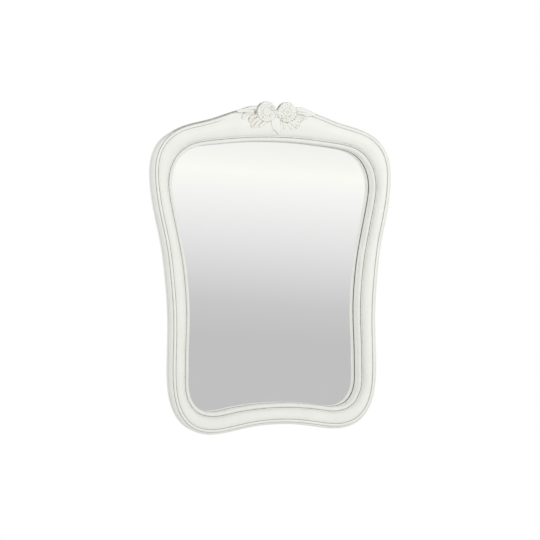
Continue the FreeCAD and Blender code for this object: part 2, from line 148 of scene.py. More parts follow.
class CarvingSettings(PropertyGroup):
    rose_radius: length("Rose radius", "Out to the petal tips", 31.0)
    rose_offset: length("Rose offset", "Rose centre from the middle", 32.5)
    rose_centre: length("Rose centre", "Rose centre above the middle of the height", 463.8)
    rose_front: length("Rose front", "Front of a rose above the flat back", 63.7)
    seat: length("Seat", "Back of the carving above the flat back", 47.0)
    grain: length("Carving grain", "Size of the finest facet in the leaves", 0.5)
    petals: IntProperty(name="Petals", description="Petals round each rose", default=21)


class FinishSettings(PropertyGroup):
    paint: colour("Paint", "Aged white paint", "#F1F2ED")
    paint_shade: colour("Paint shade", "The same paint where it is thinner", "#EAEBE4")
    # the glaze colour, which also lays painted shade on the mouldings and the carving
    glaze_and_shade: colour("Glaze", "Grey glaze wiped into the grooves", "#7F7F79")
    wood: colour("Wood", "Bare wood on the back", "#C9AE84")
    board: colour("Board", "Hardboard back panel", "#7A5A3C")
    card: colour("Card", "Backing card", "#B99B72")
    zinc: colour("Zinc", "Zinc plate", "#C4C6C8")
    felt: colour("Felt", "Bumper felt", "#8C8A86")
    rubber: colour("Rubber", "Pads round the glass", "#2B2A29")
    speck: length("Speck", "Size of a fly speck", 0.8)


class StageSettings(PropertyGroup):
    key: number("Key", "Power of the soft key lamp", 34.0, unit="POWER")
    fill: number("Fill", "Power of the fill lamp", 16.0, unit="POWER")
    ambient: number("Ambient", "Light from all round", 0.88)
    ceiling: number("Ceiling", "Light from straight above", 0.60)
    floor_drop: length("Floor drop", "Floor below the hanging line", 1700.0)
    focal: number("Lens", "Focal length of the camera", 93.7, unit="CAMERA")


def settings():
    return bpy.context.scene.wall_mirror


# ---- shaping ----

def deselect():
    if bpy.context.mode != "OBJECT":
        bpy.ops.object.mode_set(mode="OBJECT")
    bpy.ops.object.select_all(action="DESELECT")


def only(obj):
    deselect()
    obj.select_set(True)
    bpy.context.view_layer.objects.active = obj


def begin(primitive, **sizes):
    """Add a primitive with nothing else selected."""
    deselect()
    primitive(**sizes)
    return bpy.context.object


def begin_ball(segments, rings):
    """A sphere to press into shape, with where its points lie from pole to pole, 0 to 1,
    and round it."""
    ball = begin(bpy.ops.mesh.primitive_uv_sphere_add, segments=segments, ring_count=rings,
                 radius=1.0)
    points = points_of(ball)
    polar = np.arccos(np.clip(points[:, 2], -1, 1)) / math.pi
    return ball, polar, np.arctan2(points[:, 1], points[:, 0])


@contextmanager
def editing(obj):
    """Edit mode, with the whole mesh selected."""
    only(obj)
    bpy.ops.object.mode_set(mode="EDIT")
    bpy.ops.mesh.select_all(action="SELECT")
    yield
    bpy.ops.object.mode_set(mode="OBJECT")


def read(items, key):
    """A vector of each item, as rows."""
    flat = np.empty(len(items) * 3)
    items.foreach_get(key, flat)
    return flat.reshape(-1, 3)


def points_of(obj):
    return read(obj.data.vertices, "co")


def normals_of(obj):
    return read(obj.data.vertex_normals, "vector")


def move_points(obj, points):
    obj.data.vertices.foreach_set("co", np.asarray(points, dtype=float).ravel())
    obj.data.update()


def place(x, z, height):
    """Points from mm across, mm above mid-height and mm forward of the flat back."""
    x, z, height = np.broadcast_arrays(x, z, height)
    return np.stack([x, -(FRAME_BACK + height), z - HANG_HEIGHT], axis=-1) * MM


def mm_of(obj):
    """The object's vertices as mm across, mm above mid-height and mm above the flat back."""
    points = points_of(obj) / MM
    return points[:, 0], points[:, 2] + HANG_HEIGHT, -points[:, 1] - FRAME_BACK


def ramp(values, start, span):
    """0 up to the start, then rising to 1 over the span."""
    return np.clip((values - start) / span, 0, 1)


def paint_points(obj, name, values):
    """A value for each vertex, for the finish to follow."""
    layer = obj.data.attributes.new(name, "FLOAT", "POINT")
    layer.data.foreach_set("value", np.asarray(values, dtype=float).ravel())


def face_outward(obj):
    with editing(obj):
        bpy.ops.mesh.normals_make_consistent(inside=False)


def thicken(plate, thick):
    """Extrude a flat plate by mm towards the wall, or away from it if below zero."""
    with editing(plate):
        bpy.ops.mesh.extrude_region_move(
            TRANSFORM_OT_translate={"value": (0, thick * MM, 0)})
    face_outward(plate)


def apply(obj, kind, **values):
    """Add a modifier, set it and apply it."""
    only(obj)
    modifier = obj.modifiers.new(kind.title(), kind)
    for key, value in values.items():
        setattr(modifier, key, value)
    bpy.ops.object.modifier_apply(modifier=modifier.name)


def bevel(obj, width, segments):
    """Round the sharp edges by a width in mm."""
    apply(obj, "BEVEL", width=width * MM, segments=segments, limit_method="ANGLE",
          angle_limit=math.radians(50))


def join(pieces):
    deselect()
    for piece in pieces:
        piece.select_set(True)
    bpy.context.view_layer.objects.active = pieces[0]
    bpy.ops.object.join()
    return bpy.context.view_layer.objects.active


def settle(obj):
    """Put the object at the origin, with its place in its mesh."""
    only(obj)
    bpy.ops.object.transform_apply(location=True, rotation=True, scale=True)


def finish(obj, node, word, slot, angle=40.0, body="frame"):
    """Put a finished piece in place of its CAD node: it is named for the node and the work
    done, smoothed up to an angle, and given its slot's finish."""
    obj.name = obj.data.name = f"{node}_{word}"
    settle(obj)
    bpy.ops.object.shade_smooth_by_angle(angle=math.radians(angle))
    obj.data.materials.clear()
    obj.data.materials.append(FINISHES[slot]())
    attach(obj, body)
    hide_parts(node)


def closed_spline(points, count):
    """Points and tangents evenly along a smooth closed line through the given points."""
    points = np.array(points, dtype=float)
    n = len(points)
    after = np.linalg.norm(np.roll(points, -1, axis=0) - points, axis=1)
    before = np.roll(after, 1)
    system = np.zeros((n, n))
    for i in range(n):
        system[i, i - 1] += before[i]
        system[i, i] += 2 * (before[i] + after[i])
        system[i, (i + 1) % n] += after[i]
    step = (np.roll(points, -1, axis=0) - points) / after[:, None]
    bend = np.linalg.solve(system, 6 * (step - np.roll(step, 1, axis=0)))
    starts = np.concatenate([[0.0], np.cumsum(after)])
    along = np.arange(count) * starts[-1] / count
    i = np.clip(np.searchsorted(starts, along, side="right") - 1, 0, n - 1)
    j = (i + 1) % n
    h = after[i][:, None]
    s = (along - starts[i])[:, None]
    here = (bend[i] * (h - s) ** 3 / (6 * h) + bend[j] * s ** 3 / (6 * h)
            + (points[i] / h - bend[i] * h / 6) * (h - s) + (points[j] / h - bend[j] * h / 6) * s)
    slope = (-bend[i] * (h - s) ** 2 / (2 * h) + bend[j] * s ** 2 / (2 * h)
             - (points[i] / h - bend[i] * h / 6) + (points[j] / h - bend[j] * h / 6))
    return here, slope / np.linalg.norm(slope, axis=1)[:, None]


def smooth_line(points, t):
    """Points on an open smooth line through the given points, t from 0 to 1."""
    points = np.array(points, dtype=float)
    padded = np.concatenate([[2 * points[0] - points[1]], points, [2 * points[-1] - points[-2]]])
    where = np.asarray(t) * (len(points) - 1)
    i = np.clip(where.astype(int), 0, len(points) - 2)
    s = (where - i)[..., None]
    a, b, c, d = (padded[i + k] for k in range(4))
    return 0.5 * (2 * b + (c - a) * s + (2 * a - 5 * b + 4 * c - d) * s ** 2
                  + (3 * b - a - 3 * c + d) * s ** 3)


# ---- the moulding ----

def both_halves(shares, width, height):
    """The whole outline, from the shares of its right half."""
    right = [(x * width, z * height) for x, z in shares]
    return right + [(-x, z) for x, z in reversed(right[1:-1])]


def outward(here, along):
    """Directions square to a closed line and away from its middle."""
    normal = np.stack([along[:, 1], -along[:, 0]], axis=1)
    wrong = np.sum(normal * here, axis=1) < 0
    normal[wrong] *= -1
    return normal


def stations():
    """Sight points round the frame, outward directions, widths and slants, in mm."""
    m = settings().moulding
    reach = (m.front_bead + m.side_step + m.side_swell) / MM
    half_wide, half_high = m.overall_width / 2 / MM, m.overall_height / 2 / MM
    sight, sight_along = closed_spline(
        both_halves(SIGHT_SHARES, half_wide - m.side_width / MM, half_high - m.foot_width / MM),
        m.rounds)
    quirk, quirk_along = closed_spline(
        both_halves(QUIRK_SHARES, half_wide - reach, half_high - reach), 12 * m.rounds)
    normal = outward(sight, sight_along)
    quirk_normal = outward(quirk, quirk_along)
    widths, slants = [], []
    for point, out in zip(sight, normal):
        away = quirk - point
        ahead = away @ out
        aside = np.abs(away @ np.array([out[1], -out[0]]))
        aside[ahead < 0] = 1e9
        nearest = np.argmin(aside)
        widths.append(ahead[nearest])
        slants.append(1 / (quirk_normal[nearest] @ out))
    return sight, normal, np.array(widths), np.array(slants)


def arc(start, middle, end, facets):
    """Points along the arc through three points of the section."""
    (ax, ay), (bx, by), (cx, cy) = start, middle, end
    d = 2 * (ax * (by - cy) + bx * (cy - ay) + cx * (ay - by))
    ux = ((ax * ax + ay * ay) * (by - cy) + (bx * bx + by * by) * (cy - ay)
          + (cx * cx + cy * cy) * (ay - by)) / d
    uy = ((ax * ax + ay * ay) * (cx - bx) + (bx * bx + by * by) * (ax - cx)
          + (cx * cx + cy * cy) * (bx - ax)) / d
    radius = math.hypot(ax - ux, ay - uy)
    first, via, last = (math.atan2(y - uy, x - ux) for x, y in (start, middle, end))
    turn = (last - first) % math.tau
    if (via - first) % math.tau > turn:
        turn -= math.tau
    return [(ux + radius * math.cos(first + turn * i / facets),
             uy + radius * math.sin(first + turn * i / facets)) for i in range(facets + 1)]


def cushion(start, end, rise, facets):
    """The cushion's face, steep by the fillet and falling gently to the quirk."""
    wide = end[0] - start[0]
    poles = [start] + [(start[0] + wide * a, start[1] + rise * b) for a, b in CUSHION_SHARES]
    poles = np.array(poles + [end])
    run = []
    for i in range(facets + 1):
        t = 0.5 - 0.5 * math.cos(math.pi * i / facets)
        weights = [math.comb(5, k) * t ** k * (1 - t) ** (5 - k) for k in range(6)]
        run.append(tuple(np.array(weights) @ poles))
    return run


def moulding_section(width, slant, crest=0.0, fade=0.0, side_shade=0.0):
    """One section, from the rebate over the face to the flat back, as rows of out, height,
    glaze with painted shade, bare wood and rub-through. Over the crest the side leans in
    towards the back and the front lines are fainter, where it fades the front bead dies
    away, and the last value is the side's painted shade, laid as glaze on the side."""
    m = settings().moulding
    quirk = m.quirk_height / MM
    crown = quirk + m.crown_rise / MM
    fillet = quirk - FILLET_DROP
    groove = fillet - GROOVE_DROP
    wall = groove - WALL_DROP
    bead = m.sight_bead / MM
    step = bead + m.groove / MM
    flat = bead + m.fillet / MM
    cut = m.quirk_cut / MM
    left = 1 - fade
    front = width + m.front_bead / MM * slant
    side = front + m.side_step / MM * slant * (1 - 0.15 * crest)
    swell = m.side_swell / MM * slant * (1 - 0.4 * crest)
    back = side - CREST_LEAN * crest
    faint = 1 - 0.5 * crest
    shoulder = quirk - SHOULDER_DROP
    upper, lower = (quirk * share for share in SIDE_LINES)
    fullest = (side + swell * 0.7 - 0.6 * crest, upper + (quirk - upper) * 0.65)
    rows = []

    def run(points, glaze_and_shade=0.0, bare=0.0, rub=0.0):
        rows.extend((out, height, glaze_and_shade, bare, rub) for out, height in points)

    def side_line(out, height):
        run([(out + 0.25, height + 0.7)], glaze_and_shade=0.7)
        run([(out - cut, height)], glaze_and_shade=1.0)
        run([(out + 0.25, height - 0.7)], glaze_and_shade=0.7)

    # the rebate, the inner wall and the sight bead
    run([(REBATE_WIDE, 0.0), (REBATE_WIDE, REBATE_DEEP)], bare=1.0)
    # painted shadow: a dark line on the wall where it meets the face of the glass
    run([(0.0, REBATE_DEEP), (0.0, REBATE_DEEP + 0.5)], glaze_and_shade=1.0)
    run([(0.0, REBATE_DEEP + 0.8), (0.0, wall - 6.0), (0.0, wall - 0.6)])
    run([(0.15, wall)], glaze_and_shade=0.25)
    run(arc((0.15, wall), (bead / 2, groove + 1.8), (bead - 0.5, groove + 0.4), 8)[1:],
        glaze_and_shade=0.08)
    # the groove and the fillet
    run([(bead, groove - cut)], glaze_and_shade=1.0, rub=0.4)
    run([(step - 0.1, groove - cut * 0.4)], glaze_and_shade=0.9, rub=0.6)
    run([(step, fillet - 1.0)], glaze_and_shade=0.25, rub=1.0)
    run([(step + 0.4, fillet - 0.15)], rub=0.8)
    run([(flat - 0.6, fillet), (flat - 0.05, fillet - 0.1)], glaze_and_shade=0.05)
    # the cushion and its quirk
    face = cushion((flat, fillet), (width, quirk), crown - fillet, 18)
    # painted shade: a little glaze darkens the inner half of the cushion, by the fillet, as if
    # turned from the light
    for share, point in zip(np.linspace(0, 1, len(face)), face[1:-1]):
        run([point], glaze_and_shade=0.05 * min(1.0, max(0.0, (0.54 - share) / 0.10)))
    run([(width - 0.7, quirk + 0.25)], glaze_and_shade=0.5 * left * faint)
    run([(width, quirk - cut * left * faint)], glaze_and_shade=left * faint)
    run([(width + 0.7, quirk + 0.7 * left)], glaze_and_shade=0.3 * left * faint)
    # the front bead and the line outside it
    ridge = arc((width, quirk), ((width + front) / 2, quirk + 0.4 + 2.9 * left),
                (front, shoulder), 10)
    run(ridge[2:-1])
    run([(front - 0.6, shoulder + 0.6 * left)], glaze_and_shade=0.4 * faint)
    run([(front, shoulder - cut * faint)], glaze_and_shade=faint)
    run([(front + 0.6, shoulder - 0.4)], glaze_and_shade=0.4)
    # the side in three swellings, and the flat back
    # painted shade: grey glaze laid on the side over the crest, darkest at the left
    run(arc((front, shoulder), fullest, (side, upper), 8)[1:-1], glaze_and_shade=side_shade)
    side_line(side, upper)
    belly = (side + back) / 2 + swell + 0.01
    run(arc((side, upper), (belly, (upper + lower) / 2), (back, lower), 8)[1:-1], glaze_and_shade=side_shade)
    side_line(back, lower)
    edge = side + swell / 2 - 2 * CREST_LEAN * crest
    belly = (back + edge) / 2 + swell * 0.75 + 0.01
    run(arc((back, lower), (belly, lower / 2), (edge, 0.0), 7)[1:-1], glaze_and_shade=side_shade)
    run([(edge, 1.2)], glaze_and_shade=0.1)
    run([(edge - 0.4, 0.0)], bare=1.0)
    run([(edge * 0.66 + REBATE_WIDE * 0.34, 0.0), (edge * 0.33 + REBATE_WIDE * 0.67, 0.0)],
        bare=1.0)
    return rows


def build_moulding_ring():
    """The whole moulding as one ring: a sheet bent round and closed on itself both ways."""
    sight, normal, widths, slants = stations()
    across = sight[:, 0] + normal[:, 0] * widths
    over = np.interp(sight[:, 1], CREST_ABOVE, [0.0, 1.0])
    crest = np.interp(np.abs(across), CREST_ACROSS, [1.0, 0.0]) * over
    fade = np.interp(across, BEAD_FADES, [0.0, 1.0, 1.0, 0.0]) * over
    # painted shade for the side over the crest, laid as glaze
    side_shade = crest * np.interp(across, SIDE_SHADE_ACROSS, SIDE_SHADE)
    rows = np.array([moulding_section(*each)
                     for each in zip(widths, slants, crest, fade, side_shade)])
    rounds, corners = rows.shape[:2]
    ring = begin(bpy.ops.mesh.primitive_grid_add, x_subdivisions=corners,
                 y_subdivisions=rounds, size=1.0)
    sheet = points_of(ring)
    i = np.rint((sheet[:, 1] + 0.5) * rounds).astype(int) % rounds
    j = np.rint((sheet[:, 0] + 0.5) * corners).astype(int) % corners
    out, height, *marks = rows[i, j].T
    middle = sight[i] + normal[i] * out[:, None]
    move_points(ring, place(middle[:, 0], middle[:, 1], height))
    for name, values in zip(("glaze_and_shade", "bare", "rub"), marks):
        paint_points(ring, name, values)
    with editing(ring):
        bpy.ops.mesh.remove_doubles(threshold=0.000002)
    face_outward(ring)
    return ring


def copy_of(obj, name):
    twin = obj.copy()
    twin.data = obj.data.copy()
    twin.name = name
    bpy.context.scene.collection.objects.link(twin)
    return twin


def cut_off(obj, point, direction):
    """Saw the piece and throw away what lies on the side that the direction names."""
    with editing(obj):
        bpy.ops.mesh.bisect(plane_co=point, plane_no=direction, use_fill=True,
                            clear_outer=True)


# ---- the carving ----

def measure_hollows(obj):
    """How hollow the surface is at each vertex, for the glaze to gather in."""
    mesh = obj.data
    points, normals = points_of(obj), normals_of(obj)
    edges = np.empty(len(mesh.edges) * 2, dtype=int)
    mesh.edges.foreach_get("vertices", edges)
    a, b = edges.reshape(-1, 2).T

    def total(at, weights=None):
        return np.bincount(at, weights, len(points))

    span = np.linalg.norm(points[a] - points[b], axis=1) + 1e-9
    count = np.maximum(total(a) + total(b), 1)
    lift = np.zeros(len(points))
    for here, there in ((a, b), (b, a)):
        lift += total(here, np.sum((points[there] - points[here]) * normals[here], axis=1) / span)
    lift /= count
    for _ in range(3):
        lift = 0.4 * lift + 0.6 * (total(a, lift[b]) + total(b, lift[a])) / count
    return lift


def top_of_rail():
    """The crest rail's face, for the carving to lie on: the sight points of its sections,
    their outward directions, and the height of the face across each, in mm."""
    sight, normal, widths, slants = stations()
    near = (sight[:, 1] > 0) & (np.abs(sight[:, 0]) < 180)
    across = np.arange(0.0, 150.0, FACE_STEP)
    above_side, outer_face = 36.5, 54.5
    faces = []
    for width, slant in zip(widths[near], slants[near]):
        rows = np.array(moulding_section(width, slant))
        rows = rows[rows[:, 1] > above_side]
        rows = rows[np.argsort(rows[:, 0], kind="stable")]
        face = np.interp(across, rows[:, 0], rows[:, 1])
        # outside the quirk the carving doesn't follow the bead and the side down
        faces.append(np.where(across > width - 2.0, np.maximum(face, outer_face), face))
    return sight[near], normal[near], np.array(faces)


def rail_surface(rail, x, z):
    """Height of the crest rail's face under points in mm."""
    sight, normal, faces = rail
    away_x = x[:, None] - sight[None, :, 0]
    away_z = z[:, None] - sight[None, :, 1]
    ahead = away_x * normal[:, 0] + away_z * normal[:, 1]
    aside = np.abs(away_x * normal[:, 1] - away_z * normal[:, 0]) + 1e3 * (ahead < -4)
    nearest = np.argmin(aside, axis=1)
    out = ahead[np.arange(len(x)), nearest] / FACE_STEP
    out = np.clip(out, 0, faces.shape[1] - 1.001)
    low = out.astype(int)
    part = out - low
    return faces[nearest, low] * (1 - part) + faces[nearest, low + 1] * part


def drill(obj):
    """Sink the knife cuts, and say how dark the glaze lies in them."""
    x, z, height = mm_of(obj)
    facing = -normals_of(obj)[:, 1] > 0.1
    sunk, dark = np.zeros(len(x)), np.zeros(len(x))
    for eye_x, eye_z, long, wide, lean, depth in EYES:
        c, s = math.cos(math.radians(lean)), math.sin(math.radians(lean))
        along = ((x - eye_x) * c + (z - eye_z) * s) / long
        aside = ((z - eye_z) * c - (x - eye_x) * s) / (wide * (1.2 - 0.35 * along))
        inside = np.clip(1 - along ** 2 - aside ** 2, 0, 1)
        sunk = np.maximum(sunk, depth * inside ** 0.8 * facing)
        dark = np.maximum(dark, np.clip(inside * 1.8, 0, min(depth, 1)))
    move_points(obj, place(x, z, height - sunk))
    return dark


def glaze_and_shade_carving(obj, *layers):
    """Keep the darkest of the layers of glaze and painted shade, and warm thin glaze left in
    parts.
    """
    paint_points(obj, "glaze_and_shade", np.maximum.reduce(layers))
    x, z, _ = mm_of(obj)
    wash = np.zeros(len(x))
    for spot_x, spot_z, wide, high, strength in WASHES:
        away = ((x - spot_x) / wide) ** 2 + ((z - spot_z) / high) ** 2
        wash = np.maximum(wash, strength * np.exp(-away))
    paint_points(obj, "wash", wash)


def across_petal(angle, petals, turn):
    """Where an angle falls across its petal, from 0 at the middle to 1 at either edge."""
    return np.abs(2 * ((angle * petals / math.tau + turn) % 1.0) - 1)


def within(u, edge, sharp):
    """1 inside an edge and 0 outside it, with a steep fall between."""
    return 1 / (1 + np.exp(np.clip((u - edge) * sharp, -30, 30)))


def rosette(centre, radius, front, seat, petals, turn, depth, segments, rings, dot=0.0):
    """A carved flower: a sphere pressed flat, its face raised into two rows of petals round
    a heart that stands up like a button, in mm."""
    flower, polar, angle = begin_ball(segments, rings)
    rim, under = 0.47, 0.53     # shares of the sphere where its face ends and its back begins
    u = np.clip(polar / rim, 0, 1)
    # outer and inner petals: rounded across, parted by knife cuts, the inner over the outer
    sway = 0.06 * np.sin(3 * angle + turn) + 0.04 * np.sin(5 * angle)
    outer = across_petal(angle + sway, petals, turn)
    inner = across_petal(angle - sway, petals - 6, turn + 0.4)
    long = 0.015 * np.sin(angle * 4 + turn)
    rise_in = 0.60 + 0.24 * ramp(u, 0.40, 0.26) ** 0.8 - 0.21 * inner ** 2.2
    rise_out = 0.58 + 0.22 * np.sin(ramp(u, 0.58, 0.42) * 2.0) - 0.23 * outer ** 2.2
    row = within(u, 0.68 - 0.045 * inner ** 2 + long, 80)
    face = rise_in * row + rise_out * (1 - row) - 0.22 * ramp(u, 0.88, 0.12) ** 2
    # heart: a ringed button with short strokes and a dimple
    heart = 0.90 + 0.10 * np.sin(math.pi * ramp(u, 0.11, 0.25))
    heart += 0.05 * np.cos(angle * 14) * ramp(u, 0.15, 0.1)
    heart -= (0.12 + 0.3 * dot) * np.exp(-((u - 0.13) / 0.035) ** 2)
    heart -= dot * np.exp(-(u / 0.075) ** 2)
    inside = within(u, 0.375 + long, 75)
    face = np.clip(face * (1 - inside) + heart * inside, -0.4, 1.0)
    # the flank runs straight down to the seat, and the back closes in behind it
    tip = 1 - 0.03 * outer ** 3 + 0.012 * np.cos(angle * 3 + turn)
    slide = ramp(polar, rim, under - rim)
    height = (front - depth * (1 - face)) * (1 - slide) + seat * slide
    reach = radius * tip * np.where(polar > under, 0.97 * ramp(1 - polar, 0, rim),
                                    u * (1 - 0.03 * slide))
    x = centre[0] + reach * np.cos(angle) * (1 + 0.05 * slide)
    move_points(flower, place(x, centre[1] + reach * np.sin(angle), height))
    face_outward(flower)
    dark = drill(flower)
    hollow = np.clip((measure_hollows(flower) - 0.03) * 3.0, 0.0, 0.24)
    # glaze on the flank, with painted shade making it darkest at the upper left
    away = (angle + math.pi) % math.tau - math.radians(138 + 180)
    shade = np.exp(-(away / 0.55) ** 2)
    flank_glaze_and_shade = (0.34 + 0.64 * shade) * ramp(polar, 0.446 - 0.018 * shade, 0.014)
    glaze_and_shade_carving(flower, dark, hollow, flank_glaze_and_shade)
    return flower


def lobe(spine, rail, seat, crease, rise):
    """One carved lobe lying on the rail, along a spine of x, z, lift off the rail and half
    width in mm. A thin skirt round its foot takes glaze and painted shade in the corner."""
    body, t, around = begin_ball(40, 44)
    line = smooth_line(spine, t)
    after, before = (smooth_line(spine, np.clip(t + step, 0, 1)) for step in (0.01, -0.01))
    heading = (after - before)[:, :2]
    heading /= np.linalg.norm(heading, axis=1)[:, None] + 1e-9
    ends = ramp(np.minimum(t, 1 - t), 0, 0.06) ** 0.5
    girth = np.maximum(line[:, 3], 0.05)
    half, wide = girth * ends, (girth + SKIRT) * ends
    cos, sin = np.cos(around), np.sin(around)
    top = sin > 0
    across = np.where(top, cos, np.sign(cos) * np.abs(cos) ** 0.45 * 0.96)
    x = line[:, 0] - heading[:, 1] * across * wide
    z = line[:, 1] + heading[:, 0] * across * wide
    share = across * wide / np.maximum(half, 0.05)
    dome = np.clip(1 - share ** 2, 0, 1) ** 0.42
    dome -= crease * np.exp(-(share / 0.20) ** 2) * (dome > 0)
    foot = rail_surface(rail, x, z) + 0.25
    up = (line[:, 2] * np.clip(dome * 2.5, 0, 1) + dome * half * rise) * ends
    height = np.where(top, foot + up, foot + sin * (foot - seat))
    move_points(body, place(x, z, height))
    return body


def carve(lobes, seat, crease=0.26, rise=0.46, glazed_and_shaded=0.5):
    """Lobes grown together into one carved piece, glazed in its hollows, with glaze and
    painted shade round its foot, and painted shade on the top of the left wing."""
    rail = top_of_rail()
    piece = join([lobe(spine, rail, seat, crease, rise) for spine in lobes])
    face_outward(piece)
    apply(piece, "REMESH", mode="VOXEL", voxel_size=settings().carving.grain, adaptivity=0.0)
    apply(piece, "SMOOTH", factor=0.5, iterations=2)
    dark = drill(piece)
    x, z, height = mm_of(piece)
    above = height - rail_surface(rail, x, z)
    # glaze and painted shade darken the corner where the lobe meets the rail
    foot = glazed_and_shaded * np.clip((1.1 - above) / 0.6, 0, 1)
    hollow = np.clip((measure_hollows(piece) - 0.02) * 5.0, 0.0, glazed_and_shaded)
    # painted shade: surfaces facing up along the top of the left wing are darkened
    rim = ramp(normals_of(piece)[:, 2], 0.24, 0.2) * np.exp(-((x + 96) / 16) ** 2) * (z > 468)
    glaze_and_shade_carving(piece, dark, hollow, foot, 0.9 * rim)
    return piece


# Lobes of the carved leaves: x, z, lift off the rail and half width in mm along each spine
LEFT_WING = [
    [(-50, 474, -2.5, 5.0), (-66, 474.5, -0.4, 5.0), (-78, 474, 1.4, 4.8), (-90, 472, 1.4, 4.2),
     (-108, 467.5, 1.0, 3.0), (-127, 462.5, 0.3, 1.2)],
    [(-50, 464.5, -2.5, 3.2), (-67, 464.5, -0.6, 3.5), (-79, 464.5, 1.2, 3.9),
     (-96, 464, 1.2, 3.5), (-114, 462, 0.8, 2.4), (-124, 460.5, 0.2, 1.0)],
    [(-54, 456.5, 0.6, 3.2), (-74, 457.5, 1.0, 3.2), (-93, 456, 1.0, 3.4), (-102, 451, 1.1, 4.0),
     (-105, 444, 1.2, 4.8), (-103, 439, 0.8, 3.0)],
    [(-56, 450, 0.6, 3.6), (-72, 449, 1.0, 4.0), (-82, 443.5, 1.2, 4.6), (-86, 436, 1.0, 4.0),
     (-82, 430, 0.4, 1.4)],
]
RIGHT_WING = [
    [(58, 474, 0.8, 5.5), (80, 473, 1.4, 6.2), (98, 468, 1.2, 5.8), (112, 463, 1.0, 5.4),
     (123, 459, 0.9, 5.0)],
    [(60, 468, 0.6, 3.2), (82, 465, 1.0, 3.6), (100, 459.5, 0.9, 3.4), (115, 455.5, 0.4, 2.2)],
    [(60, 462.5, 0.8, 3.4), (80, 461, 1.2, 3.2), (96, 455.5, 1.0, 3.0), (105, 452, 0.3, 1.4)],
    [(58, 455.5, 0.8, 3.4), (76, 453.5, 1.2, 3.4), (88, 449, 1.0, 3.0), (97, 445.5, 0.3, 1.4)],
    [(56, 448, 0.8, 3.6), (70, 447.5, 1.1, 3.6), (80, 444, 1.0, 3.0), (88, 441, 0.3, 1.4)],
    [(56, 441.5, 0.6, 3.0), (70, 440.5, 1.0, 3.4), (77, 437, 0.6, 2.4), (80, 434.5, 0.2, 1.0)],
]
LEFT_LOWER = [
    [(-52, 446, 0.6, 4.2), (-66, 438, 1.0, 5.0), (-76, 428, 1.0, 4.6), (-80, 419.5, 0.5, 2.6),
     (-77, 413.5, 0.2, 1.2)],
    [(-46, 440, 0.6, 4.2), (-58, 431, 1.0, 4.8), (-67, 421.5, 0.8, 3.8), (-72.5, 414, 0.2, 1.2)],
    [(-20, 441.5, 0.4, 2.6), (-30, 436.5, 0.9, 4.4), (-41, 430, 0.9, 5.0), (-52, 421, 0.6, 3.8),
     (-57, 416.5, 0.2, 1.4)],
]
RIGHT_LOWER = [
    [(44, 444, 0.2, 4.0), (56, 438, 0.4, 4.6), (66, 430, 0.3, 3.8), (74, 422, 0.0, 1.4)],
    [(38, 440, 0.2, 4.0), (49, 433, 0.4, 4.6), (58, 424, 0.3, 3.8), (66, 414.5, 0.0, 1.4)],
    [(30, 438, 0.2, 4.0), (38, 430, 0.4, 4.4), (44, 420, 0.3, 3.4), (49, 412, 0.0, 1.4)],
    [(19, 437, 0.2, 3.0), (23, 429, 0.3, 3.4), (24, 420, 0.2, 2.8), (22, 412.5, 0.0, 1.2)],
]
STEM = [
    [(-12, 448, 1.4, 4.6), (-13, 436, 1.6, 5.0), (-9.5, 420, 1.2, 5.0), (-2.0, 407, 0.9, 3.4),
     (8, 396, 0.5, 2.6)],
    [(-3, 450, 1.8, 5.2), (-3, 436, 2.0, 5.4), (0.5, 420, 1.5, 5.2), (5.5, 407, 1.0, 3.4),
     (11, 396, 0.5, 2.2)],
    [(6, 450, 1.8, 5.2), (6, 436, 1.9, 5.2), (6.5, 420, 1.4, 4.4), (9.5, 407, 0.9, 2.8),
     (12, 396, 0.5, 1.8)],
    [(0, 471, 4.5, 2.0), (0, 464, 5.5, 3.0), (0, 456, 4.0, 4.0), (0, 446, 2.4, 5.0)],
    [(-10.5, 414, 0.6, 2.2), (-11, 405, 0.7, 2.2), (-11, 394.5, 0.4, 2.0)],
    [(-5, 409, 0.6, 2.0), (-6, 402, 0.7, 2.2), (-6.5, 394.5, 0.4, 2.0)],
    [(0.5, 403, 0.6, 1.8), (-1.5, 399, 0.7, 2.0), (-2, 394.5, 0.4, 1.8)],
]
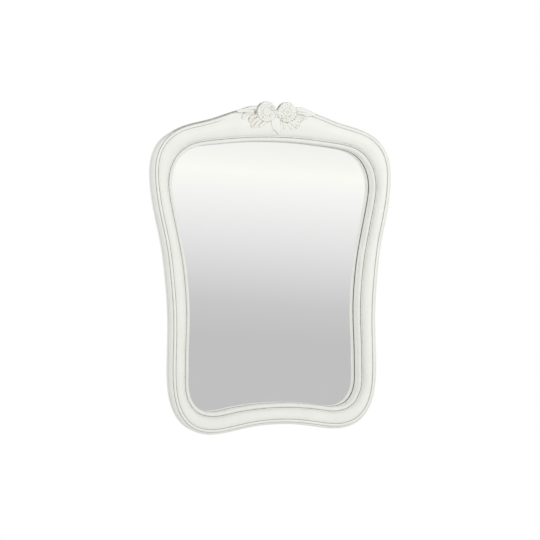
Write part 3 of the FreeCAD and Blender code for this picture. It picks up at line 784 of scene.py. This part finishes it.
# Knife cuts, short where the lobes part and long as strokes: x, z, half length, half
# width, lean in degrees and depth, in mm
EYES = [
    (-109, 447, 2.2, 1.0, 60, 0.8), (-108.5, 437.5, 2.4, 1.1, -50, 1.0),
    (-87.5, 442, 2.6, 1.1, 50, 1.0), (-90.5, 437, 2.4, 1.2, 70, 1.1),
    (-84.6, 428.5, 2.4, 1.0, -60, 0.9), (-80.8, 420.3, 2.6, 1.2, -70, 1.1),
    (-76, 414.5, 2.2, 1.2, -45, 1.1), (-59.5, 421, 2.8, 1.4, 50, 1.5),
    (-55.5, 417, 2.2, 1.0, 30, 0.9), (-30.6, 432.5, 2.8, 1.2, 30, 1.2),
    (-68.4, 461.5, 8.5, 2.6, 97, 4.0), (-63.8, 447, 3.0, 1.3, 60, 1.4),
    (-46.2, 457, 2.6, 1.0, 110, 1.2), (-44.6, 448, 2.4, 1.0, 140, 1.2),
    (-24.5, 450.6, 2.4, 1.1, 40, 1.3), (-4.3, 455, 2.6, 1.2, 100, 1.5),
    (2.7, 448.6, 2.6, 1.4, 110, 1.8), (14.2, 452.5, 2.4, 1.0, 60, 1.2),
    (14.8, 444.5, 2.6, 1.3, 100, 1.5), (17, 436.5, 2.6, 1.3, 110, 1.5),
    (34, 433, 3.4, 1.2, 8, 1.2), (41.3, 452, 2.4, 1.0, 135, 1.1),
    (48.5, 439.4, 3.2, 1.1, 35, 1.2), (65, 465, 4.0, 1.2, 95, 1.3),
    (59.5, 450.4, 3.4, 1.1, 70, 1.2), (56.6, 444.3, 2.4, 1.2, 60, 1.3),
    (81, 441, 2.4, 1.4, 30, 1.5), (76, 436.5, 2.2, 1.4, 40, 1.5),
    (97, 450.3, 2.2, 1.0, -30, 0.9), (48.3, 418.7, 2.6, 1.2, -60, 1.0),
    (60.4, 420, 2.6, 1.1, -50, 0.9), (10.6, 428.4, 2.6, 0.9, 90, 0.8),
    (-16.2, 422.5, 10.1, 0.6, -72, 0.7),
    (-1.2, 404.5, 16.0, 0.8, -39, 0.9), (-13.7, 401.6, 11.2, 0.6, -89, 0.6),
    (12.5, 420.2, 26.2, 0.6, -90, 0.6), (82.6, 465.4, 19.1, 0.8, -8, 0.45),
    (80.3, 458.6, 15.4, 0.8, -17, 0.45), (76.7, 452.0, 11.8, 0.7, -28, 0.35),
    (73.1, 444.9, 9.2, 0.7, -35, 0.35),
]
# Warm glaze left thin in the carving: x, z, reach across, reach up, strength
WASHES = [(-78, 442, 16, 20, 0.9), (-88, 470, 22, 5, 0.5), (26, 444, 12, 10, 0.9),
          (60, 420, 14, 9, 0.9), (-45, 434, 22, 9, 0.6)]


# ---- finishes ----

def wire(node, inputs):
    """Link or fill a node's inputs: a node stands for its first output, and words for an
    sRGB hex colour."""
    for key, value in inputs.items():
        if isinstance(value, bpy.types.Node):
            value = value.outputs[0]
        if isinstance(value, bpy.types.NodeSocket):
            node.id_data.links.new(value, node.inputs[key])
        else:
            node.inputs[key].default_value = rgba(value) if isinstance(value, str) else value


def add_node(tree, kind, inputs=None, **values):
    """Add a node, set it, and link or fill its inputs."""
    node = tree.nodes.new(kind)
    for key, value in values.items():
        setattr(node, key, value)
    wire(node, inputs or {})
    return node


def rgba(tone):
    """A colour with full alpha, from an sRGB hex or from a setting's linear values."""
    return (*(linear(tone) if isinstance(tone, str) else tone), 1.0)


def new_finish(name):
    """The material of that name and, where it is still to be made, its surface and what
    adds a node to it."""
    found = bpy.data.materials.get(name)
    if found:
        return found, None, None
    made = bpy.data.materials.new(name)
    made.use_nodes = True
    return made, made.node_tree.nodes["Principled BSDF"], partial(add_node, made.node_tree)


def antique_paint():
    """Matt white paint, brushed on and aged: a grey glaze wiped back so that it stays in
    the grooves and also lays painted shade in crevices and on shaded sides, a few dark fly
    specks, and beige ground showing where edges are rubbed."""
    made, surface, add = new_finish("Antique white paint")
    if surface is None:
        return made
    f = settings().finish
    spot = add("ShaderNodeTexCoord").outputs["Object"]
    # clouds of 45 mm in the paint, brush marks of 8 mm and worn patches of 22 mm
    cloud, smear, patch = (
        add("ShaderNodeTexNoise", {"Vector": spot, "Scale": scale, "Detail": detail})
        for scale, detail in ((22.0, 5.0), (120.0, 3.0), (45.0, 5.0)))
    glaze_and_shade, wash, rub, bare = (add("ShaderNodeAttribute", attribute_name=name).outputs["Fac"]
                              for name in ("glaze_and_shade", "wash", "rub", "bare"))
    # the glaze lies in patches where it was wiped, and ambient occlusion adds glaze and painted
    # shade in the finest crevices and between parts
    patchy = add("ShaderNodeMapRange", {"Value": smear, 1: 0.3, 2: 0.7, 3: 0.6, 4: 1.0})
    open_sky = add("ShaderNodeAmbientOcclusion", {"Distance": 0.004}, samples=8)
    crevice_glaze_and_shade = add("ShaderNodeMapRange", {"Value": open_sky.outputs["AO"], 1: 0.25, 2: 0.72,
                                         3: 0.85, 4: 0.0})
    deepest = add("ShaderNodeMath", {0: glaze_and_shade, 1: crevice_glaze_and_shade}, operation="MAXIMUM")
    glazed_and_shaded = add("ShaderNodeMath", {0: deepest, 1: patchy}, operation="MULTIPLY")
    thin = add("ShaderNodeMath", {0: wash, 1: patchy}, operation="MULTIPLY")
    # rub-through to the beige ground along the fillet
    worn = add("ShaderNodeMapRange", {"Value": patch, 1: 0.60, 2: 0.67, 3: 0.0, 4: 0.7})
    rubbed = add("ShaderNodeMath", {0: rub, 1: worn}, operation="MULTIPLY")
    # fly specks, at most one to a cell of about 55 mm
    cells_per_metre = 18.0
    cells = add("ShaderNodeTexVoronoi", {"Vector": spot, "Scale": cells_per_metre})
    size = f.speck / 2 * cells_per_metre
    near = add("ShaderNodeMapRange", {"Value": cells, 1: size, 2: size * 1.6, 3: 1.0, 4: 0.0})
    chosen = add("ShaderNodeSeparateColor", {"Color": cells.outputs["Color"]})
    some = add("ShaderNodeMath", {0: chosen, 1: 0.55}, operation="GREATER_THAN")
    speck = add("ShaderNodeMath", {0: near, 1: some}, operation="MULTIPLY")
    # bare wood on the flat back, its grain 7 mm wide and 110 mm long
    long = add("ShaderNodeMapping", {"Vector": spot, "Scale": (150.0, 150.0, 9.0)})
    grain = add("ShaderNodeTexNoise", {"Vector": long, "Scale": 1.0, "Detail": 6.0})
    wood = add("ShaderNodeMix", {0: grain, 6: rgba(f.wood), 7: "#A98A60"}, data_type="RGBA")
    # one over another: thinner paint, glaze with painted shade, warm wash, ground, specks and
    # bare wood
    layer = rgba(f.paint)
    for share, over, blend in ((cloud, rgba(f.paint_shade), "MIX"),
                               (glazed_and_shaded, rgba(f.glaze_and_shade), "MIX"), (thin, "#F9F4EC", "MULTIPLY"),
                               (rubbed, "#CDBD9E", "MIX"), (speck, "#5E574E", "MIX"),
                               (bare, wood.outputs[2], "MIX")):
        layer = add("ShaderNodeMix", {0: share, 6: layer, 7: over}, data_type="RGBA",
                    blend_type=blend).outputs[2]
    rough = add("ShaderNodeMapRange", {"Value": smear, 3: 0.42, 4: 0.56})
    brush = add("ShaderNodeBump", {"Height": smear, "Strength": 0.12, "Distance": 0.0004})
    wire(surface, {"Base Color": layer, "Roughness": rough, "Normal": brush, "IOR": 1.46})
    return made


def float_glass():
    """Float glass, clear and faintly green at its edge. To light that the frame has already
    scattered, which a renderer may not follow through glass, it stands as a pale sheet, so
    that the mirror still throws light back on the mouldings round it."""
    made, surface, add = new_finish("Float glass")
    if surface is None:
        return made
    wire(surface, {"Base Color": "#FEFFFE", "Transmission Weight": 1.0, "Roughness": 0.0,
                   "IOR": 1.52})
    path = add("ShaderNodeLightPath")
    sheet = add("ShaderNodeBsdfDiffuse", {"Color": "#F8F9F8"})
    both = add("ShaderNodeMixShader", {0: path.outputs["Is Diffuse Ray"], 1: surface, 2: sheet})
    wire(made.node_tree.nodes["Material Output"], {"Surface": both})
    return made


def mirror_silver():
    """Silver chemically laid on the glass: a near-perfect mirror under its back paint."""
    made, surface, _ = new_finish("Chemical silvering")
    if surface is not None:
        wire(surface, {"Base Color": "#FFFFFF", "Metallic": 1.0, "Roughness": 0.0})
    return made


def fibrous(name, base, second, scale, stretch, rough, relief):
    """A fibrous or grained solid: two near tones mixed by a stretched noise."""
    made, surface, add = new_finish(name)
    if surface is None:
        return made
    spot = add("ShaderNodeTexCoord").outputs["Object"]
    turned = add("ShaderNodeMapping", {"Vector": spot, "Scale": stretch})
    grain = add("ShaderNodeTexNoise", {"Vector": turned, "Scale": scale, "Detail": 6.0,
                                       "Roughness": 0.6})
    spread = add("ShaderNodeMapRange", {"Value": grain, 1: 0.35, 2: 0.65})
    tone = add("ShaderNodeMix", {0: spread, 6: rgba(base), 7: second}, data_type="RGBA")
    bump = add("ShaderNodeBump", {"Height": grain, "Strength": relief, "Distance": 0.0005})
    wire(surface, {"Base Color": tone.outputs[2], "Normal": bump, "Roughness": rough})
    return made


def hardboard():
    """Tempered hardboard: brown pressed fibre, smooth with dark flecks of 1.4 mm."""
    board = settings().finish.board
    return fibrous("Hardboard", board, "#5F4530", 700.0, (1, 1, 1), 0.62, 0.25)


def backing_card():
    """Grey-brown card, dull, with fibres 2 mm wide and 7 mm long."""
    card = settings().finish.card
    return fibrous("Backing card", card, "#A3855D", 500.0, (1, 1, 0.3), 0.8, 0.2)


def beech():
    """Beech, pale pink-brown, with straight grain 1 mm wide and 17 mm long."""
    return fibrous("Turned beech", "#D2AC80", "#B98F63", 1.0, (900, 900, 60), 0.5, 0.2)


def pad_rubber():
    """Black rubber, dull, with a faint bloom in spots of 2.5 mm."""
    rubber = settings().finish.rubber
    return fibrous("Moulded rubber", rubber, "#3A3937", 400.0, (1, 1, 1), 0.7, 0.15)


def bumper_felt():
    """Pressed wool felt: tangled fibres half a millimetre across, no shine."""
    felt = settings().finish.felt
    return fibrous("Pressed felt", felt, "#6F6D69", 1800.0, (1, 1, 1), 0.95, 0.9)


def zinc_plate():
    """Zinc-plated steel: bright grey with a faint cloudy bloom of 3 mm."""
    made, surface, add = new_finish("Zinc-plated steel")
    if surface is None:
        return made
    spot = add("ShaderNodeTexCoord").outputs["Object"]
    bloom = add("ShaderNodeTexNoise", {"Vector": spot, "Scale": 350.0, "Detail": 4.0})
    tone = add("ShaderNodeMix", {0: bloom, 6: rgba(settings().finish.zinc), 7: "#A9ABAD"},
               data_type="RGBA")
    rough = add("ShaderNodeMapRange", {"Value": bloom, 3: 0.24, 4: 0.42})
    wire(surface, {"Base Color": tone.outputs[2], "Roughness": rough, "Metallic": 1.0})
    return made


# The finish of each of the record's slots that a new piece takes
FINISHES = {"painted_wood": antique_paint, "clear_glass": float_glass, "beech": beech,
            "zinc_steel": zinc_plate, "felt": bumper_felt}


def dress(name, material):
    """Give a finish to a CAD node that keeps its own shape."""
    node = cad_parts[name]
    node.data.materials.clear()
    node.data.materials.append(material)


# ---- glass and back fittings ----

def node_parts(name):
    """The middle, size and points of each separate solid of a CAD node, in metres."""
    copy = bpy.data.objects.new("copy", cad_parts[name].data.copy())
    bpy.context.scene.collection.objects.link(copy)
    with editing(copy):
        bpy.ops.mesh.remove_doubles(threshold=0.00002)
        bpy.ops.mesh.separate(type="LOOSE")
    found = []
    for part in list(bpy.context.selected_objects):
        points = points_of(part)
        low, high = points.min(axis=0), points.max(axis=0)
        found.append(((low + high) / 2, high - low, points))
        bpy.data.objects.remove(part)
    return found


def across_and_up(point):
    """Mid-height mm from a point in metres."""
    return point[0] / MM, point[2] / MM + HANG_HEIGHT


def glass_plate():
    """The glass, cut to the rebate and ground along its edges. Its back is a hair inside
    the silvering, so that light meets one surface at a time."""
    sight, normal, _, _ = stations()
    outline = (sight + normal * (REBATE_WIDE - GLASS_PLAY))[::2]
    plate = begin(bpy.ops.mesh.primitive_circle_add, vertices=len(outline), radius=0.3,
                  fill_type="NGON")
    points = points_of(plate)
    order = np.argsort(np.argsort(np.arctan2(points[:, 1], points[:, 0])))
    move_points(plate, place(outline[order, 0], outline[order, 1], GLASS_BACK))
    thicken(plate, GLASS_BACK - REBATE_DEEP)
    bevel(plate, 0.3, 1)
    return plate


def screw_body(x, z, seat):
    """A pan-head screw with a cross recess, its head towards +Y, in mm at a seat point."""
    body, polar, angle = begin_ball(24, 16)
    # share of the sphere, then shares of the head's radius and height
    profile = np.array([(0.0, 0.0, 0.55), (0.10, 0.30, 0.55), (0.18, 0.45, 1.0),
                        (0.26, 0.80, 0.92), (0.34, 1.0, 0.55), (0.42, 1.0, 0.0),
                        (0.50, 0.46, 0.0), (0.56, 0.44, -0.4), (0.90, 0.40, -5.0),
                        (1.0, 0.0, -8.3)])
    radial = np.interp(polar, profile[:, 0], profile[:, 1]) * HEAD_RADIUS
    along = np.interp(polar, profile[:, 0], profile[:, 2]) * HEAD_HIGH
    along = np.where(polar >= 0.97, -SCREW_SHANK, along)
    cross = np.maximum(np.abs(np.cos(2 * angle)) - 0.55, 0) / 0.45
    radial = np.where(polar < 0.20, radial * (0.35 + 0.65 * cross), radial)
    move_points(body, place(x + radial * np.cos(angle), z + radial * np.sin(angle),
                            -(seat + along)))
    face_outward(body)
    return body


def screws_of(node, seat):
    """A screw in place of each one of a CAD node, its head on a seat behind the frame."""
    return join([screw_body(*across_and_up(middle), seat) for middle, _, _ in node_parts(node)])


def retainer_plate(middle, points):
    """A pressed plate with round corners, turned as the CAD plate is."""
    flat = points[points[:, 1] > middle[1]][:, [0, 2]]
    spread = flat - flat.mean(axis=0)
    # its far corners, those of one end turned over to the other end
    far = spread[np.linalg.norm(spread, axis=1) > 12.5 * MM]
    towards = (far * np.where(far @ far[0] > 0, 1, -1)[:, None]).mean(axis=0)
    turn = math.atan2(towards[1], towards[0])
    plate = begin(bpy.ops.mesh.primitive_circle_add, vertices=32, radius=RETAINER_CORNER,
                  fill_type="NGON")
    corners = points_of(plate)
    for k, size in enumerate(RETAINER_SIZE):
        straight = size / 2 - RETAINER_CORNER
        corners[:, k] += np.where(corners[:, k] > 0, straight, -straight)
    c, s = math.cos(turn), math.sin(turn)
    x, z = across_and_up(middle)
    move_points(plate, place(x + corners[:, 0] * c - corners[:, 1] * s,
                             z + corners[:, 0] * s + corners[:, 1] * c, 0.0))
    thicken(plate, RETAINER_THICK)
    bevel(plate, 0.25, 2)
    return plate


def hanger_ring(x0, z0):
    """A D-ring bent from wire, its straight leg through the strap's curl."""
    ring = begin(bpy.ops.mesh.primitive_torus_add, major_segments=72, minor_segments=16,
                 major_radius=1.0, minor_radius=0.1)
    bow, rise = 9.0, 8.0     # radius of the bow and height of its middle over the leg
    leg = [(6.0, 0.0), (8.1, 0.9), (bow, 3.0), (bow, rise)]
    path = [(0.0, 0.0)] + leg
    for i in range(1, 12):
        angle = math.pi * i / 12
        path.append((bow * math.cos(angle), rise + bow * math.sin(angle)))
    path += [(-x, z) for x, z in reversed(leg)]
    here, along = closed_spline(path, 72)
    away = np.stack([along[:, 1], -along[:, 0]], axis=1)
    around = np.arange(16) * math.tau / 16
    x = here[:, None, 0] + away[:, None, 0] * RING_WIRE * np.cos(around)
    up = here[:, None, 1] + away[:, None, 1] * RING_WIRE * np.cos(around)
    back = np.broadcast_to(RING_WIRE * np.sin(around), x.shape)
    lean = math.radians(3.0)
    z = up * math.cos(lean) + back * math.sin(lean)
    y = back * math.cos(lean) - up * math.sin(lean)
    move_points(ring, place(x0 + x, z0 + z, -(RING_AXIS + y)).reshape(-1, 3))
    face_outward(ring)
    return ring


def hanger_strap(x0, z0):
    """A strap of sheet steel, flat on the wood and curled round the ring's leg."""
    strap = begin(bpy.ops.mesh.primitive_grid_add, x_subdivisions=12, y_subdivisions=48,
                  size=2.0)
    points = points_of(strap)
    t = (points[:, 1] + 1) / 2
    flat_end, long, end_radius = 0.72, 38.0, 3.0
    middle = RING_WIRE + RING_PLAY + STRAP_THICK / 2
    turn = ramp(t, flat_end, 1 - flat_end) * math.radians(330)
    drop = long * (1 - np.clip(t / flat_end, 0, 1))
    back = np.where(t < flat_end, STRAP_THICK / 2, RING_AXIS - middle * np.cos(turn))
    z = np.where(t < flat_end, z0 - drop, z0 + middle * np.sin(turn))
    # narrow through the ring, wide over the wood and rounded at the end
    half = 4.5 + 3.0 * ramp(drop, 2.6, 2.0)
    past = np.clip(drop - (long - end_radius), 0, end_radius)
    half -= end_radius - np.sqrt(np.maximum(end_radius ** 2 - past ** 2, 0.0))
    move_points(strap, place(x0 + points[:, 0] * half, z, -back))
    face_outward(strap)
    apply(strap, "SOLIDIFY", thickness=STRAP_THICK * MM, offset=0.0)
    bevel(strap, 0.15, 2)
    return strap


def wall_bumper(middle, size):
    """A felt disc with its edges rounded."""
    disc = begin(bpy.ops.mesh.primitive_cylinder_add, vertices=48, radius=size[0] / 2,
                 depth=size[1], location=middle, rotation=(math.pi / 2, 0, 0))
    settle(disc)
    bevel(disc, 0.9, 3)
    return disc


def fluted_dowel(middle, size):
    """A dowel with sixteen flutes and chamfered ends."""
    pin = begin(bpy.ops.mesh.primitive_cylinder_add, vertices=96, radius=size[1] / 2,
                depth=size[2], location=middle)
    settle(pin)
    points = points_of(pin)
    turn = np.arctan2(points[:, 1] - middle[1], points[:, 0] - middle[0])
    flute = 1 - 0.07 * np.abs(np.sin(turn * 8))
    for k in (0, 1):
        points[:, k] = middle[k] + (points[:, k] - middle[k]) * flute
    move_points(pin, points)
    bevel(pin, 1.2, 2)
    return pin


# ---- the stage ----

def seen_in_mirror(add, path):
    """1 for light that comes by way of the silvering or through the glass."""
    return add("ShaderNodeMath", {0: path.outputs["Is Glossy Ray"],
                                  1: path.outputs["Is Transmission Ray"]}, operation="MAXIMUM")


def floor_finish():
    """Pale matt studio floor, white to the eye and grey in reflections."""
    made, surface, add = new_finish("Pale studio floor")
    if surface is None:
        return made
    wire(surface, {"Base Color": "#F2F1EF", "Roughness": 0.9})
    path = add("ShaderNodeLightPath")
    white, grey = (add("ShaderNodeEmission", {"Color": tone, "Strength": 1.0})
                   for tone in ("#FFFFFF", ROOM_FLOOR))
    seen = add("ShaderNodeMath", {0: path.outputs["Is Camera Ray"], 1: 0.9},
               operation="MULTIPLY")
    lit = add("ShaderNodeMixShader", {0: seen, 1: surface, 2: white})
    both = add("ShaderNodeMixShader", {0: seen_in_mirror(add, path), 1: lit, 2: grey})
    wire(made.node_tree.nodes["Material Output"], {"Surface": both})
    return made


def build_floor(s):
    floor = begin(bpy.ops.mesh.primitive_grid_add, x_subdivisions=4, y_subdivisions=4,
                  size=4.4, location=(0.0, 0.0, -s.floor_drop))
    floor.name = "studio_floor"
    settle(floor)
    floor.data.materials.append(floor_finish())


def stand(name, data, location, direction):
    """Put a lamp or a camera in the scene, looking along a direction."""
    obj = bpy.data.objects.new(name, data)
    bpy.context.scene.collection.objects.link(obj)
    obj.location = location
    obj.rotation_mode = "QUATERNION"
    obj.rotation_quaternion = direction.to_track_quat("-Z", "Y")
    return obj


def light_room(s):
    """Two soft lamps in front, which neither the mirror nor its glass shows."""
    for name, power, spot in (("key_lamp", s.key, Vector((2.0, -3.1, 1.0))),
                              ("fill_lamp", s.fill, Vector((-3.2, -2.4, 0.7)))):
        lamp = bpy.data.lights.new(name, "AREA")
        lamp.shape = "SQUARE"
        lamp.size = 1.8
        lamp.energy = power
        holder = stand(name, lamp, spot, Vector((0.0, 0.0, -0.1)) - spot)
        holder.visible_glossy = False
        holder.visible_transmission = False


def set_world(s):
    """White to the eye, a soft room gradient in the mirror, and a dim even light."""
    world = bpy.data.worlds.new("Studio surroundings")
    bpy.context.scene.world = world
    world.use_nodes = True
    world.node_tree.nodes.clear()
    add = partial(add_node, world.node_tree)
    path = add("ShaderNodeLightPath")
    ray = add("ShaderNodeTexCoord").outputs["Generated"]
    # the strip of the room that the mirror shows, from its dark foot to its pale wall
    tilted = add("ShaderNodeVectorMath", {0: ray, 1: (0.08, 0.0, 1.0)},
                 operation="DOT_PRODUCT").outputs["Value"]
    rising = add("ShaderNodeMapRange", {"Value": tilted, 1: -0.040, 2: 0.118, 3: 0.0, 4: 1.0})
    room = add("ShaderNodeValToRGB", {0: rising})
    stops = room.color_ramp.elements
    stops[0].color, stops[1].color = rgba(ROOM_FLOOR), rgba("#EAE9E7")
    for spot, tone in ((0.16, "#C9C8C9"), (0.43, "#E4E3E4"), (0.64, "#F4F3F3"),
                       (0.75, "#FBFBF5"), (0.89, "#F1F0EE")):
        stops.new(spot).color = rgba(tone)
    # the studio is lit from in front and from the sides, and its ceiling is dim
    level = add("ShaderNodeSeparateXYZ", {0: ray}).outputs[2]
    dimmed = add("ShaderNodeMapRange", {"Value": level, 1: 0.15, 2: 0.75, 3: s.ambient,
                                        4: s.ceiling})
    light, mirrored, white = (
        add("ShaderNodeBackground", {"Color": tone, "Strength": strength})
        for tone, strength in (("#FFFFFF", dimmed), (room, 1.0), ("#FFFFFF", 1.0)))
    unseen = add("ShaderNodeMixShader", {0: seen_in_mirror(add, path), 1: light, 2: mirrored})
    both = add("ShaderNodeMixShader", {0: path.outputs["Is Camera Ray"], 1: unseen, 2: white})
    add("ShaderNodeOutputWorld", {"Surface": both})


def set_camera(s):
    """The camera stands at the photograph's angle: 20 degrees to the left, level."""
    lens = bpy.data.cameras.new("photo_camera")
    lens.sensor_width = 36.0
    lens.lens = s.focal
    back = Vector((-0.342, -0.9395, 0.0172)).normalized()
    target, away, roll = Vector((-0.021, -0.057, -0.2136)), 4.212, math.radians(-0.146)
    camera = stand("photo_camera", lens, target + back * away, -back)
    turned = Matrix.Rotation(roll, 3, "Z").to_quaternion()
    camera.rotation_quaternion = camera.rotation_quaternion @ turned
    bpy.context.scene.camera = camera


# ---- operators ----

class MIRROR_OT_moulding(Operator):
    """Shape the serpentine moulding and saw it into its four lengths"""
    bl_idname = "mirror.moulding"
    bl_label = "Frame moulding"

    def execute(self, context):
        m = settings().moulding
        ring = build_moulding_ring()
        top = Vector((0, 0, m.upper_joint - HANG_HEIGHT * MM))
        foot = Vector((0, 0, -m.lower_joint - HANG_HEIGHT * MM))
        up, right = Vector((0, 0, 1)), Vector((1, 0, 0))
        cuts = {"crest_rail": [(top, -up)], "bottom_rail": [(foot, up)],
                "left_stile": [(top, up), (foot, -up), (Vector(), right)],
                "right_stile": [(top, up), (foot, -up), (Vector(), -right)]}
        for node, saws in cuts.items():
            member = copy_of(ring, node + "_painted")
            for point, away in saws:
                cut_off(member, point, away)
            finish(member, node, "painted", "painted_wood", 32)
        bpy.data.objects.remove(ring)
        return {"FINISHED"}


class MIRROR_OT_roses(Operator):
    """Carve the two roses and the small bud between them"""
    bl_idname = "mirror.roses"
    bl_label = "Roses and bud"

    def execute(self, context):
        c = settings().carving
        centre, seat = c.rose_centre / MM, c.seat / MM
        for node, side, turn, dot in (("left_rose", -1, 0.3, 0.0),
                                      ("right_rose", 1, 0.75, 0.4)):
            rose = rosette((side * c.rose_offset / MM, centre), c.rose_radius / MM,
                           c.rose_front / MM, seat, c.petals, turn, depth=8.5, segments=252,
                           rings=120, dot=dot)
            finish(rose, node, "carved", "painted_wood", 60)
        # the bud sits a little forward, clear of the backs of the roses
        bud = rosette((-11.5, centre + 10.0), 7.5, 63.8, seat + 4.0, petals=13, turn=0.4,
                      depth=3.6, segments=108, rings=60)
        finish(bud, "rose_bud", "carved", "painted_wood", 60)
        return {"FINISHED"}


class MIRROR_OT_wings(Operator):
    """Carve the two wing leaves that run out from the roses along the top"""
    bl_idname = "mirror.wings"
    bl_label = "Wing leaves"

    def execute(self, context):
        seat = settings().carving.seat / MM - 1.0
        finish(carve(LEFT_WING, seat), "left_wing_leaf", "carved", "painted_wood", 60)
        finish(carve(RIGHT_WING, seat), "right_wing_leaf", "carved", "painted_wood", 60)
        return {"FINISHED"}


class MIRROR_OT_lower_leaves(Operator):
    """Carve the two lower leaves beside the stem"""
    bl_idname = "mirror.lower_leaves"
    bl_label = "Lower leaves"

    def execute(self, context):
        seat = settings().carving.seat / MM
        left = carve(LEFT_LOWER, seat)
        finish(left, "left_lower_leaf", "carved", "painted_wood", 60)
        right = carve(RIGHT_LOWER, seat, rise=0.30, glazed_and_shaded=0.35)
        finish(right, "right_lower_leaf", "carved", "painted_wood", 60)
        return {"FINISHED"}


class MIRROR_OT_stem(Operator):
    """Carve the bundle of stems with its ribbon"""
    bl_idname = "mirror.stem"
    bl_label = "Ribboned stem"

    def execute(self, context):
        seat = settings().carving.seat / MM - 6.0
        stem = carve(STEM, seat, crease=0.0, rise=0.26, glazed_and_shaded=0.2)
        finish(stem, "ribbon_stem", "carved", "painted_wood", 60)
        return {"FINISHED"}


class MIRROR_OT_plate(Operator):
    """Finish the mirror plate and the boards and pads behind and round it"""
    bl_idname = "mirror.plate"
    bl_label = "Mirror plate"

    def execute(self, context):
        finish(glass_plate(), "mirror_glass", "ground", "clear_glass", 30)
        dress("mirror_silvering", mirror_silver())
        dress("backing_board", backing_card())
        dress("back_panel", hardboard())
        dress("glass_edge_pads", pad_rubber())
        return {"FINISHED"}


class MIRROR_OT_retainers(Operator):
    """Make the plates and screws that hold the back panel"""
    bl_idname = "mirror.retainers"
    bl_label = "Retainers"

    def execute(self, context):
        plates = join([retainer_plate(middle, points)
                       for middle, _, points in node_parts("retainer_plates")])
        finish(plates, "retainer_plates", "pressed", "zinc_steel")
        screws = screws_of("retainer_screws", RETAINER_THICK)
        finish(screws, "retainer_screws", "turned", "zinc_steel")
        return {"FINISHED"}


class MIRROR_OT_hangers(Operator):
    """Make the two D-rings, their straps and their screws"""
    bl_idname = "mirror.hangers"
    bl_label = "Hangers"

    def execute(self, context):
        for side, word in ((-1, "left"), (1, "right")):
            leg = side * RING_ACROSS, HANG_HEIGHT - RING_DROP
            finish(hanger_ring(*leg), word + "_hanger_ring", "wire", "zinc_steel", 60,
                   body=word + "_ring")
            finish(hanger_strap(*leg), word + "_hanger_strap", "folded", "zinc_steel")
        finish(screws_of("hanger_screws", STRAP_THICK), "hanger_screws", "turned", "zinc_steel")
        return {"FINISHED"}


class MIRROR_OT_bumpers(Operator):
    """Make the four felt bumpers that keep the frame off the wall"""
    bl_idname = "mirror.bumpers"
    bl_label = "Wall bumpers"

    def execute(self, context):
        bumpers = join([wall_bumper(middle, size)
                        for middle, size, _ in node_parts("wall_bumpers")])
        finish(bumpers, "wall_bumpers", "felt", "felt")
        return {"FINISHED"}


class MIRROR_OT_dowels(Operator):
    """Make the fluted dowels hidden in the frame's four joints"""
    bl_idname = "mirror.dowels"
    bl_label = "Joint dowels"

    def execute(self, context):
        for node in ("upper_joint_dowels", "lower_joint_dowels"):
            pins = join([fluted_dowel(middle, size) for middle, size, _ in node_parts(node)])
            finish(pins, node, "fluted", "beech")
        return {"FINISHED"}


class MIRROR_OT_stage(Operator):
    """Set the floor, the studio light, the surroundings and the camera"""
    bl_idname = "mirror.stage"
    bl_label = "Stage"

    def execute(self, context):
        s = settings().stage
        build_floor(s)
        light_room(s)
        set_world(s)
        set_camera(s)
        context.scene.view_settings.view_transform = "Standard"
        return {"FINISHED"}


class MIRROR_PT_panel(Panel):
    """Sidebar panel with the mirror's parts and settings"""
    bl_label = "Wall mirror"
    bl_idname = "MIRROR_PT_panel"
    bl_space_type = "VIEW_3D"
    bl_region_type = "UI"
    bl_category = "Mirror"

    def draw(self, context):
        mirror = context.scene.wall_mirror
        for group in (mirror.moulding, mirror.carving, mirror.finish, mirror.stage):
            box = self.layout.box()
            for key in group.__annotations__:
                box.prop(group, key)
        for operator in OPERATORS:
            self.layout.operator(operator.bl_idname)


class MirrorSettings(PropertyGroup):
    moulding: PointerProperty(type=MouldingSettings)
    carving: PointerProperty(type=CarvingSettings)
    finish: PointerProperty(type=FinishSettings)
    stage: PointerProperty(type=StageSettings)


GROUPS = [MouldingSettings, CarvingSettings, FinishSettings, StageSettings, MirrorSettings]
OPERATORS = [MIRROR_OT_moulding, MIRROR_OT_roses, MIRROR_OT_wings, MIRROR_OT_lower_leaves,
             MIRROR_OT_stem, MIRROR_OT_plate, MIRROR_OT_retainers, MIRROR_OT_hangers,
             MIRROR_OT_bumpers, MIRROR_OT_dowels, MIRROR_OT_stage]


def register():
    for made in GROUPS + OPERATORS + [MIRROR_PT_panel]:
        bpy.utils.register_class(made)
    bpy.types.Scene.wall_mirror = PointerProperty(type=MirrorSettings)


def unregister():
    del bpy.types.Scene.wall_mirror
    for made in reversed(GROUPS + OPERATORS + [MIRROR_PT_panel]):
        bpy.utils.unregister_class(made)


def main():
    register()
    for operator in OPERATORS:
        group, name = operator.bl_idname.split(".")
        getattr(getattr(bpy.ops, group), name)()


if __name__ == "__main__":
    main()
